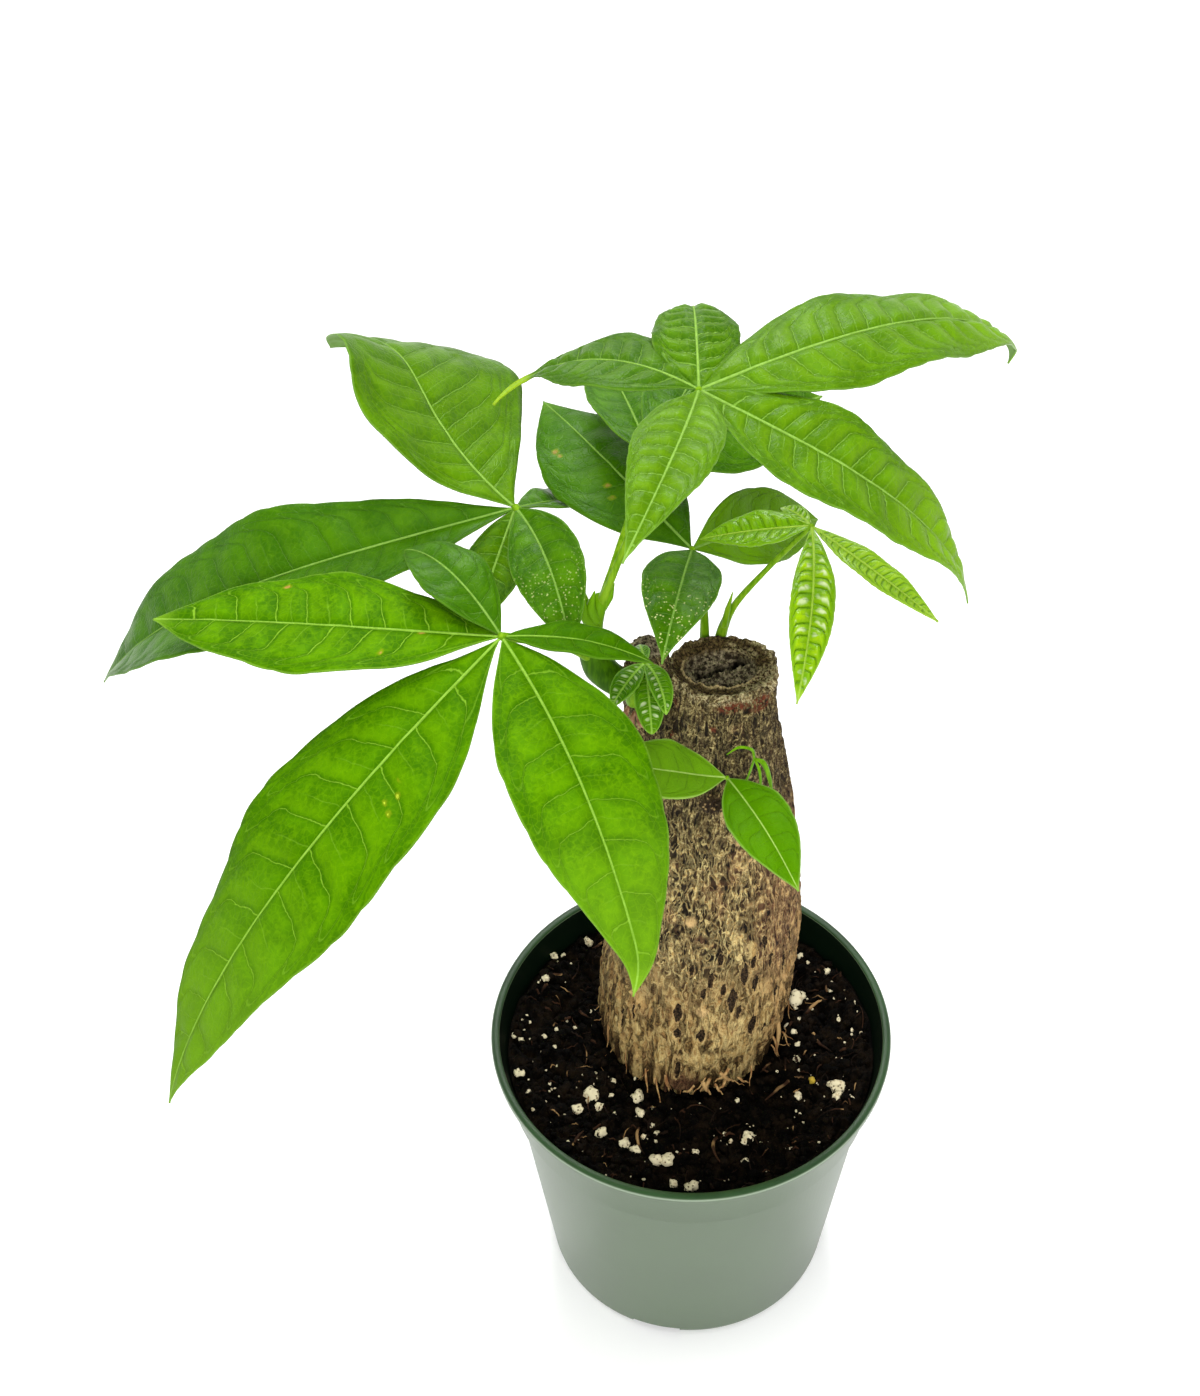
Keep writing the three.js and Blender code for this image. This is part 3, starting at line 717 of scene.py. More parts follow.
def barkSkin():
    m = newMaterial("barkSkin", Roughness=0.88, Specular_IOR_Level=0.2)
    z, fringe, hollow = readTag(m, "barkPlace")
    slit, tan, scar = readTag(m, "barkRelief")
    cream, red, deep = readTag(m, "barkMarks")
    knob, lower, _ = readTag(m, "barkWear")
    edge, innerRing, tanBank = readTag(m, "barkRim")
    place = inMillimetres(m)

    def vectors(operation, first, second):
        return put(m, "ShaderNodeVectorMath", {0: first, 1: second}, operation=operation).outputs[0]

    def push(tall, scale, reach):  # a soft shift to and fro, reach in mm
        inputs = {"Vector": inMillimetres(m, (1, 1, tall)), "Scale": scale, "Detail": 2}
        return vectors("MULTIPLY", put(m, "ShaderNodeTexNoise", inputs).outputs["Color"], reach)

    sway = vectors("ADD", push(0.3, 0.22, (5, 5, 0.6)), push(0.6, 0.6, (0.9, 0.9, 0.3)))

    def swaying(tall):
        return vectors("ADD", inMillimetres(m, (1, 1, tall)), sway)

    fineNet, wideNet = cells(m, swaying(0.26), 0.5), cells(m, swaying(0.26), 0.34)

    def threads(tall, scale, width):  # winding upright lines, where a stretched noise crosses its middle
        away = unsigned(m, minus(m, cloud(m, swaying(tall), scale, 1), 0.5))
        return ramp(m, away, width * 0.35, width, 1, 0), ramp(m, away, width * 1.3, width * 2.2)

    side = apart(m, place)[0]  # left to right
    streak, grit = cloud(m, swaying(0.1), 0.95, 5, 0.68), cloud(m, place, 1.5, 5, 0.7)
    patchy, fade = cloud(m, inMillimetres(m, (1, 1, 0.6)), 0.12, 3), cloud(m, place, 0.35, 3)
    foot, crown = ramp(m, z, *trunkPlan["footTone"]), ramp(m, z, *trunkPlan["crownTone"])

    # ground: mottled above, warm and furrowed below
    ruddy = times(m, ramp(m, side, 12, 26), ramp(m, crown, 0, 1, 1, 0.2))
    ruddy = most(m, ruddy, ramp(m, cloud(m, place, 0.1, 2), 0.56, 0.68, 0, 0.5))
    tone = blend(m, ramp(m, patchy, 0.38, 0.6), (54, 43, 28), (100, 79, 50))
    tone = blend(m, times(m, ruddy, 0.7), tone, (160, 110, 78))
    tone = blend(m, ramp(m, streak, 0.5, 0.7, 0, 0.6), tone, (140, 116, 78))
    furrow = cloud(m, swaying(0.12), 0.42, 3, 0.6)
    warm = blend(m, ramp(m, furrow, 0.38, 0.62), (62, 44, 24), (208, 162, 98))
    warm = blend(m, ramp(m, cloud(m, place, 0.17, 3), 0.5, 0.62, 0, 0.6), warm, (122, 84, 62))
    tone = blend(m, times(m, lower, 0.85), tone, warm)

    # dark gaps between the threads of the bark, in its lenses and in its grooves: partly darker bark, partly
    # painted shade in these hollows
    (bold, boldGap), (thin, thinGap) = threads(0.22, 0.48, 0.06), threads(0.26, 0.7, 0.045)
    dark = times(m, boldGap, linear(m, thinGap, 0.6, 0.4))
    dark = times(m, dark, ramp(m, fade, 0.35, 0.6, 1, 0.6))
    dark = most(m, dark, ramp(m, streak, 0.34, 0.44, 0.8, 0))
    fineLine = most(m, bold, times(m, thin, 0.65), ramp(m, fineNet, 0.04, 0.14, 0.35, 0))
    fineLine = times(m, fineLine, ramp(m, fade, 0.38, 0.56, 0.4, 1))
    wideLine = times(m, ramp(m, wideNet, 0.06, 0.17, 1, 0), times(m, lower, 0.85))
    lens = times(m, ramp(m, wideNet, 0.2, 0.28), times(m, lower, ramp(m, side, -14, 10, 0.2, 0.9)))
    groove = times(m, foot, ramp(m, furrow, 0.5, 0.42))
    groove = most(m, groove, times(m, lower, ramp(m, furrow, 0.49, 0.43, 0, 0.85)))
    rightGroove = times(m, ramp(m, side, 12, 22), ramp(m, furrow, 0.5, 0.44, 0, 0.45))
    groove = most(m, groove, rightGroove)
    dark = most(m, dark, lens, groove)
    tone = blend(m, dark, tone, (22, 17, 11))

    # pale threads
    fineLine = times(m, fineLine, linear(m, lower, -0.45, 1))
    pale = most(m, fineLine, wideLine)
    pale = most(m, pale, times(m, foot, ramp(m, furrow, 0.5, 0.56)))
    leftFoot = times(m, lower, ramp(m, side, 6, -14, 0, 0.25))
    pale = times(m, pale, minus(m, 1, leftFoot))
    pale = times(m, pale, linear(m, groove, -0.85, 1))
    lineTone = blend(m, ramp(m, grit, 0.36, 0.56), (214, 168, 94), (255, 232, 160))
    lineTone = blend(m, times(m, ruddy, 0.5), lineTone, (240, 186, 124))
    lineTone = blend(m, times(m, crown, 0.25), lineTone, (96, 82, 52))
    tone = blend(m, times(m, pale, 0.9), tone, lineTone)
    tone = blend(m, times(m, lower, ramp(m, grit, 0.45, 0.62, 0, 0.3)), tone, (206, 158, 84))

    # patches and marks
    # darker towards the soil line
    soilLineDark = times(m, ramp(m, z, *trunkPlan["soilLineTone"]), ramp(m, furrow, 0.44, 0.6, 0.9, 0.2))
    tone = blend(m, soilLineDark, tone, (62, 45, 26))
    topShade = times(m, crown, ramp(m, grit, 0.42, 0.58, 0.75, 0))
    tone = blend(m, topShade, tone, (36, 31, 19))
    tanShow = times(m, ramp(m, tan, 0.05, 0.6), ramp(m, cloud(m, place, 0.4, 4, 0.6), 0.36, 0.52, 0.1, 0.95))
    tone = blend(m, tanShow, tone, blend(m, ramp(m, streak, 0.4, 0.6), (206, 166, 98), (250, 222, 150)))
    tone = blend(m, times(m, cream, 0.95), tone, (248, 208, 142))
    knobTone = blend(m, ramp(m, grit, 0.4, 0.6), (74, 48, 34), (126, 86, 62))
    tone = blend(m, times(m, knob, 0.85), tone, knobTone)
    scarTone = blend(m, ramp(m, cells(m, place, 0.8, "F1"), 0.12, 0.4), (214, 178, 122), (48, 34, 20))
    tone = blend(m, times(m, scar, 0.9), tone, scarTone)

    # slits with torn, pale edges; their insides are darker bark with painted shade
    torn = linear(m, cloud(m, swaying(0.4), 0.9, 3, 0.6), 1.3, -0.65)
    slit = times(m, plus(m, slit, torn), ramp(m, slit, 0, 0.1))
    slitRim = times(m, ramp(m, slit, 0.02, 0.16), ramp(m, grit, 0.4, 0.56, 0.3, 0.8))
    tone = blend(m, slitRim, tone, (226, 188, 126))
    inSlit = blend(m, ramp(m, grit, 0.42, 0.6), (28, 22, 16), (96, 76, 52))
    tone = blend(m, ramp(m, slit, 0.26, 0.44), tone, inSlit)

    # the cut top
    pores = ramp(m, cells(m, place, 1, "F1"), 0.2, 0.46)
    fresh = blend(m, ramp(m, grit, 0.4, 0.58), (134, 104, 62), (255, 238, 182))
    bank = blend(m, ramp(m, grit, 0.36, 0.62), (40, 32, 18), (132, 110, 70))
    bank = blend(m, most(m, innerRing, times(m, tanBank, 0.5)), bank, fresh)
    bank = blend(m, times(m, pores, ramp(m, grit, 0.36, 0.5, 0.3, 1)), (58, 40, 24), bank)
    tone = blend(m, fringe, tone, bank)
    edge = times(m, edge, ramp(m, cloud(m, place, 0.33, 4, 0.65), 0.44, 0.56, 0.1, 1))
    tone = blend(m, edge, tone, fresh)
    red = times(m, red, ramp(m, cloud(m, place, 0.9, 3, 0.7), 0.42, 0.56, 0, 0.9))
    tone = blend(m, red, tone, (136, 66, 44))
    pith = blend(m, ramp(m, cloud(m, place, 0.9, 4, 0.65), 0.4, 0.6), (84, 72, 54), (192, 176, 142))
    pith = blend(m, ramp(m, cloud(m, place, 0.45, 3, 0.5), 0.36, 0.5), (60, 50, 37), pith)
    tone = blend(m, hollow, tone, pith)
    tone = blend(m, times(m, innerRing, ramp(m, grit, 0.38, 0.5, 0.4, 1)), tone, (232, 202, 146))
    # the crack across the hollow is painted near-black: painted shade
    tone = blend(m, deep, tone, (8, 6, 5))
    wear(m, "Base Color", tone)
    height = plus(m, times(m, pale, 0.8), times(m, grit, 0.5))
    height = linear(m, dark, -0.9, height)
    relief(m, linear(m, streak, 0.6, height), 0.9)
    return m


rootPlan = {  # turn round the trunk, top and bottom height, bottom's reach beyond the wood, drift, thickness
    "roots": [(-158, 99, 88, 2.2, 3, 0.35), (-163, 96, 88, 1.6, -2, 0.3), (-122, 93, 87, 4.5, 6, 0.34),
              (-115, 91, 87, 6.5, 8, 0.28), (-27, 104, 88, 1.4, -2, 0.7), (-32, 98, 88, 2.0, 3, 0.4),
              (-85, 93, 87.5, 1.6, 5, 0.75), (-80, 94, 89, 1.2, -6, 0.6), (-77, 91, 87.6, 2.4, 4, 0.45),
              (-70, 92, 88.6, 1.4, -5, 0.5), (-108, 94, 88, 1.6, 3, 0.6), (-62, 91, 88, 2.0, 6, 0.4),
              (-74, 96, 90, 0.8, 9, 0.7), (-68, 97, 92, 0.6, -9, 0.55), (-90, 91, 87.6, 1.2, -7, 0.6)],
    "strays": 34, "strayTop": (89, 96), "strayFoot": 87.4, "tone": (216, 178, 118), "other": (160, 112, 70),
}


def makeRoots():
    p = rootPlan
    skin = plainSkin("rootSkin", p["tone"], p["other"], 0.85)
    rows = list(p["roots"])
    for _ in range(p["strays"]):
        top = dice.uniform(*p["strayTop"])
        turn, reach, drift = dice.uniform(0, 360), dice.uniform(0.6, 4), dice.uniform(-9, 9)
        rows.append((turn, top, p["strayFoot"], reach, drift, dice.uniform(0.1, 0.28)))
    roots = []
    x, y, halfX, halfY = trunkPlan["foot"]
    for turn, top, bottom, reach, drift, thick in rows:
        path = []
        for n in range(8):
            s = n / 7
            a = math.radians(turn + drift * s)
            away = reach * s**1.6 + 0.5 * math.sin(s * 5)
            path.append((x + (halfX + away) * math.cos(a), y + (halfY + away) * math.sin(a),
                         top + (bottom - top) * s + 0.3 * math.sin(s * 9)))
        roots.append(tube("root", path, [thick * 0.8, thick, thick * 0.7, thick * 0.3], skin, 1, False))
    return roots


barkMaterial = barkSkin()
trunk = fuse("trunkWood", [makeTrunk(barkMaterial), makeStub(barkMaterial), *makeRoots()])
seat(trunk, "trunk")
print("trunk made:", len(trunk.data.polygons), "faces")


# Potting mix: a crumbly face, loose crumbs, fibres and white grains

soilPlan = {
    "level": 87, "bank": 4.5, "radius": 52.8, "skirt": 5, "skirtTaper": 0.975, "cell": 0.45,
    "loose": 51, "crumbs": 1100, "fibres": 210,  # loose things lie within this radius
    "grains": [  # x, y, diameter of the larger white grains
        (-28, -16, 4.6), (-32, -21, 3.5), (-26, -20, 3), (-15, -17, 4.6), (-14, -22, 3), (-25, -29, 3.4),
        (-18, -32, 3.6), (-15, -34, 3.2), (-9, -38, 4), (-6, -38, 4), (17, -30, 3.2), (31, -15, 3),
        (42, -12, 5), (42, -16, 3.2), (-4, -46, 3.1), (1, -47, 4.3), (31, 20, 5.9), (-31, 38, 3.3),
        (-49, -12, 3), (2, -34, 2.3), (16, -31, 2.6), (17, -29, 2.9), (31, -1, 2.3), (16, -38, 2.3),
        (28, 10, 2.4), (30, 8, 2.1), (40, 28, 2.1), (32, 34, 2.1), (41, 22, 2.4), (-51, 2, 2.3),
        (-43, 23, 2.4), (-41, 32, 2.7), (-33, -13, 1.7), (26, 40, 2.1), (10, -28, 1.7), (-34, -34, 2.3),
    ],
    "yellowGrain": (35, -10, 2.3), "smallGrains": 210,
}


def soilHeight(x, y):
    lift = 0.8 * np.sin(x * 0.31 + 1) * np.cos(y * 0.27) + 0.5 * np.sin(y * 0.6 + x * 0.4)
    reach = np.hypot(x, y)
    bank = soilPlan["bank"] * ease(38, 52, reach) * (np.abs(x) / (reach + 0.01)) ** 2
    return soilPlan["level"] + lift + bank


def fromTrunk(x, y, gap=0):  # 1 at the trunk's foot, or gap mm away from it
    footX, footY, halfX, halfY = trunkPlan["foot"]
    return np.hypot((x - footX) / (halfX + gap), (y - footY) / (halfY + gap))


def soilSkin():
    m = newMaterial("soilSkin", Roughness=0.95, Specular_IOR_Level=0.15)
    place = inMillimetres(m)
    clod, grit = cloud(m, place, 0.22, 4, 0.6), cloud(m, place, 1.1, 5, 0.7)
    tone = blend(m, ramp(m, clod, 0.42, 0.68), (6, 5, 4), (30, 22, 14))
    tone = blend(m, ramp(m, grit, 0.58, 0.74), tone, (60, 44, 28))
    wear(m, "Base Color", tone)
    relief(m, grit, 0.8)
    return m


def makeSoil(material):
    p = soilPlan
    count = int(p["radius"] * 2 / p["cell"])
    sheet, along, across = gridSheet("soilFace", count, count)
    x, y = along * 2 - 1, across
    stretch = np.maximum(np.abs(x), np.abs(y)) / np.maximum(np.hypot(x, y), 1e-6)  # square to disc
    squeeze = (1 + (stretch - 1) * np.clip(np.hypot(x, y), 0, 1)) * p["radius"]
    x, y = x * squeeze, y * squeeze
    flat = np.stack([x, y, x * 0], 1)
    rim = ease(p["loose"], p["radius"], np.hypot(x, y))
    rough = bumps(flat, 0.42, (0, 0, 3)) * 2.2 + bumps(flat, 1.15, (0, 0, 9)) * 1.1
    z = soilHeight(x, y) + rough * (1 - rim) - rim * 1.5 - 2.2 * ease(1.1, 0.98, fromTrunk(x, y))
    writePoints(sheet, np.stack([x, y, z], 1))
    pick(sheet)
    bpy.ops.object.mode_set(mode="EDIT")
    bpy.ops.mesh.select_mode(type="EDGE")
    bpy.ops.mesh.select_all(action="DESELECT")
    bpy.ops.mesh.select_non_manifold()
    bpy.ops.mesh.extrude_edges_move(TRANSFORM_OT_translate={"value": (0, 0, -p["skirt"] * mm)})
    taper = p["skirtTaper"]
    bpy.ops.transform.resize(value=(taper, taper, 1), center_override=(0, 0, 0))
    bpy.ops.mesh.edge_face_add()
    leaveEditing()
    sheet.data.materials.append(material)
    roundFaces(sheet.data)
    return sheet


def lump(faces):  # a rough pebble of size 1, dented by noise
    squash = dice.uniform(0.6, 0.9)
    dropSelection()
    bpy.ops.mesh.primitive_ico_sphere_add(subdivisions=faces, radius=mm)
    pebble = bpy.context.object
    seed = [dice.uniform(0, 90) for _ in range(3)]
    points = readPoints(pebble)
    dents = bumps(points, 1.3, seed) * 0.55 + bumps(points, 3.1, seed) * 0.25
    points = points * (1 + dents)[:, None] / 2 * np.array([1, dice.uniform(0.7, 1), squash])
    turn = np.array(Matrix.Rotation(dice.uniform(0, math.tau), 3, "Z"))
    sides = [tuple(face.vertices) for face in pebble.data.polygons]
    bpy.data.objects.remove(pebble)
    return points @ turn.T, sides


def scatter(name, spots, material, faces):  # many pebbles joined in one mesh
    shapes = [lump(faces) for _ in range(9)]
    points, faceList, start = [], [], 0
    for x, y, z, size in spots:
        corners, sides = shapes[dice.randrange(len(shapes))]
        a, b = dice.uniform(0, math.tau), dice.uniform(-0.6, 0.6)
        turn = np.array(Matrix.Rotation(a, 3, "Z") @ Matrix.Rotation(b, 3, "X"))
        points.append(corners @ turn.T * size + np.array((x, y, z)))
        faceList += [tuple(v + start for v in side) for side in sides]
        start += len(corners)
    mesh = bpy.data.meshes.new(name)
    mesh.from_pydata((np.concatenate(points) * mm).tolist(), [], faceList)
    heap = bpy.data.objects.new(name, mesh)
    bpy.context.scene.collection.objects.link(heap)
    mesh.materials.append(material)
    roundFaces(mesh)
    return heap


def soilSpots(count, low, high, gap=0.5):
    spots = []
    while len(spots) < count:
        turn, reach = dice.uniform(0, math.tau), soilPlan["loose"] * math.sqrt(dice.random())
        x, y = reach * math.cos(turn), reach * math.sin(turn)
        if fromTrunk(x, y, gap) > 1:
            size = low + (high - low) * dice.random() ** 3
            spots.append((x, y, soilHeight(x, y) + size * 0.22 + dice.uniform(-0.2, 0.5), size))
    return spots


def fibreSkin():
    m = newMaterial("fibreSkin", Roughness=0.8, Specular_IOR_Level=0.2)
    tone = cloud(m, inMillimetres(m), 0.12, 1)
    colour = blend(m, ramp(m, tone, 0.4, 0.52), (30, 20, 13), (62, 40, 26))
    # pale stretches along some fibres: a painted highlight
    wear(m, "Base Color", blend(m, ramp(m, tone, 0.56, 0.64), colour, (176, 140, 92)))
    return m


def makeFibres(material):
    fibres = []
    for x, y, _, _ in soilSpots(soilPlan["fibres"], 1, 2, 0.8):
        turn, length = dice.uniform(0, math.tau), 1.6 + 8 * dice.random() ** 3
        bend = dice.uniform(-0.8, 0.8)
        path = []
        for n in range(7):
            s = n / 6
            a = turn + bend * s
            px, py = x + math.cos(a) * length * s, y + math.sin(a) * length * s
            if math.hypot(px, py) > soilPlan["loose"] + 0.2 or fromTrunk(px, py, 0.3) <= 1:
                break
            arch = math.sin(s * math.pi) * dice.uniform(0.1, 1.1)
            path.append((px, py, soilHeight(px, py) + 0.9 + arch))
        if len(path) > 3:
            thick = dice.uniform(0.1, 0.24) if dice.random() < 0.8 else dice.uniform(0.3, 0.55)
            fibres.append(tube("fibre", path, [thick, thick, thick * 0.4], material, 0, False))
    return fibres


def whiteGrain():
    m = newMaterial("whiteGrain", Roughness=0.85, Specular_IOR_Level=0.3)
    place = inMillimetres(m)
    pores = ramp(m, cells(m, place, 0.95, "F1"), 0.1, 0.34)
    stain = ramp(m, cloud(m, place, 0.5, 3), 0.55, 0.72)
    tone = blend(m, pores, (120, 100, 68), (248, 236, 196))
    wear(m, "Base Color", blend(m, times(m, stain, 0.6), tone, (176, 140, 96)))
    relief(m, times(m, pores, 0.5), 0.8)
    return m


soilMaterial = soilSkin()
crumbs = scatter("crumbs", soilSpots(soilPlan["crumbs"], 0.9, 3.6), soilMaterial, 1)
soil = fuse("pottingMix", [makeSoil(soilMaterial), crumbs])
seat(soil, "potting_soil")
grainSpots = [(x, y, soilHeight(x, y) + size * 0.25, size * 0.92) for x, y, size in soilPlan["grains"]]
grainSpots += soilSpots(soilPlan["smallGrains"], 0.4, 1.7)
grains = scatter("whiteGrains", grainSpots, whiteGrain(), 3)
seat(grains, "potting_soil")
yellowSkin = newMaterial("yellowGrain", Base_Color=paint(206, 176, 60), Roughness=0.7)
x, y, size = soilPlan["yellowGrain"]
yellowGrain = scatter("yellowGrain", [(x, y, soilHeight(x, y) + 0.8, size)], yellowSkin, 3)
seat(yellowGrain, "potting_soil")
fibres = fuse("soilFibres", makeFibres(fibreSkin()))
seat(fibres, "potting_soil")
print("potting mix made:", len(soil.data.polygons), "faces")


# Leaves. Each leaflet leaves the hub with a compass turn and a rise, droops and swings along its length,
# rolls about its midrib, and has its veins and bulges laid out along it.

bladePlan = {
    "thickness": 0.45, "wave": 0.010, "waves": 3, "droopPower": 1.3, "tipWidth": 0.22, "veinSlant": 0.34,
    "scallop": 0.02, "stalkSize": 0.8,  # the stalks are a fifth thinner than the radii below
}


def bladeSpine(hub, plan, count=240):  # shares along the midrib, its points, sideways and upward directions
    curlUp, curlSide = plan["curl"]

    def angles(t):
        tipward = ease(plan["curlFrom"], 1, t)
        up = np.radians(plan["rise"] - plan["droop"] * t ** bladePlan["droopPower"] + curlUp * tipward)
        return up, np.radians(plan["turn"] + plan["swing"] * t + curlSide * tipward)

    def heading(t):
        up, around = angles(t)
        return np.stack([np.cos(up) * np.cos(around), np.cos(up) * np.sin(around), np.sin(up)], 1)

    t = np.linspace(0, 1, count + 1)
    steps = heading((t[:-1] + t[1:]) / 2) * plan["length"] / count
    mid = np.array(hub) + np.concatenate([[[0, 0, 0]], np.cumsum(steps, 0)])
    around = angles(t)[1]
    flat = np.stack([-np.sin(around), np.cos(around), np.zeros(count + 1)], 1)
    normal = np.cross(heading(t), flat)
    tilt = np.radians(plan["roll"] + plan["twist"] * t)[:, None]
    side = flat * np.cos(tilt) + normal * np.sin(tilt)
    up = normal * np.cos(tilt) - flat * np.sin(tilt)
    return t, mid, side, up


def halfWidth(leaflet, t):
    widest, tail = leaflet["widest"], leaflet["tail"]  # tail: a narrow drip tip's share
    drip = np.where(t > 0.9 - tail, 1.2 - 0.85 * ease(1 - tail, 1, t), 0) if tail else 0
    t = np.minimum(t / (1 - tail), 1)
    u = np.where(t < widest, (widest - t) / widest, (t - widest) / (1 - widest))
    power = np.where(t < widest, leaflet["base"], leaflet["tip"])
    return np.maximum(leaflet["width"] / 2 * np.maximum(0, 1 - u * u) ** power, drip)


def veinPhase(leaflet, x, y, s, seed):  # whole numbers of it lie on the side veins
    length, count = leaflet["length"], leaflet["veins"]
    turn = np.random.default_rng(seed)
    reach = np.abs(y) * bladePlan["veinSlant"] + np.abs(y) * 0.9 * ease(0.6, 1, np.abs(s))
    start, phase = x - reach, np.zeros(len(x))
    for sign in (-1, 1):
        n = np.arange(count)
        starts = length * (0.07 + 0.86 * ((n + 0.5 + 0.22 * sign) / count) ** 1.05)
        starts = starts + turn.uniform(-0.14, 0.14, count) * length / count
        knots = np.concatenate([[starts[0] - length / count], starts, [starts[-1] + length / count]])
        values = np.concatenate([[-0.5], n, [count - 0.5]])
        phase = np.where(np.sign(y + 1e-9) == sign, np.interp(start, knots, values), phase)
    return phase


def makeBlade(hub, leaflet, look, seed):
    length, cup = leaflet["length"], math.radians(leaflet["cup"])
    sheet, t, q = gridSheet("blade", int(length * look["rowsPerMm"]) + 12, look["across"])
    s = np.sign(q) * np.abs(q) ** 1.35
    spine, mid, side, up = bladeSpine(hub, leaflet)
    half = np.maximum(halfWidth(leaflet, t), bladePlan["tipWidth"])
    phase = veinPhase(leaflet, t * length, s * half, s, seed)
    beat = phase - np.floor(phase)
    swell = 4 * beat * (1 - beat)
    half = half * (1 + bladePlan["scallop"] * (swell - 0.5) * np.sin(t * math.pi))
    y = s * half * (1 + leaflet["lean"] * np.sign(s))
    wave = np.sin(t * math.pi) * np.sin(bladePlan["waves"] * math.tau * t + s)
    ripple = bladePlan["wave"] * length * s * s * wave * np.minimum(1, half / 6)
    quilt = look["quilt"] * leaflet["quilt"] * swell**0.7 * (1 - s**4)
    quilt = quilt * np.minimum(1, np.abs(y) / 2.2) * np.minimum(1, half / 5)
    uneven = waves(t * length, y, 13, seed + 7) * 0.22 * np.minimum(1, half / 8)
    groove = -0.22 * np.exp(-((y / 1.1) ** 2)) * np.minimum(1, half / 4)
    lift = np.abs(y) * math.sin(cup) + ripple + quilt + uneven + groove

    def onBlade(column):  # what the spine says, at each point of the sheet
        return np.stack([np.interp(t, spine, column[:, k]) for k in range(3)], 1)

    spread = onBlade(side) * (y * math.cos(cup))[:, None]
    writePoints(sheet, onBlade(mid) + spread + onBlade(up) * lift[:, None])
    tag(sheet, "bladePlace", t * length, y, s)
    tag(sheet, "bladeVein", phase, length / leaflet["veins"], seed % 17)
    tag(sheet, "bladeLook", leaflet.get("veinShow", look["veinShow"]), leaflet["patchy"], leaflet["paleTip"])
    tag(sheet, "bladeTone", t, leaflet["fresh"], leaflet["specks"])
    blot = np.zeros(len(t))
    for at, sideways, size in leaflet["blots"]:
        blot = np.maximum(blot, 1 - np.hypot((t - at) * length, y - sideways * half) / size)
    tag(sheet, "bladeBlots", np.clip(blot, 0, 1), leaflet["glint"], leaflet["shade"])
    tag(sheet, "bladeMarks", leaflet["yellowBlots"], 1 - leaflet["tail"] if leaflet["tail"] else 2)
    for skin in look["skins"]:
        sheet.data.materials.append(skin)
    thick = sheet.modifiers.new("thick", "SOLIDIFY")
    thick.thickness = bladePlan["thickness"] * mm
    thick.offset = -1
    thick.material_offset = 1
    thick.material_offset_rim = 0
    bakeModifiers(sheet)
    roundFaces(sheet.data)
    return sheet


def makeRib(hub, leaflet, look):
    spine, mid, _, up = bladeSpine(hub, leaflet, 60)
    thick = look["rib"] * min(1, (leaflet["length"] / 70) ** 0.5)
    radii = thick * (1 - spine) ** 0.8 + 0.1
    centre = mid - up * (0.12 + 0.12 * (1 - spine))[:, None]
    return tube("rib", centre[:58], radii[:58], look["ribSkin"], 2)  # it ends short of the tip


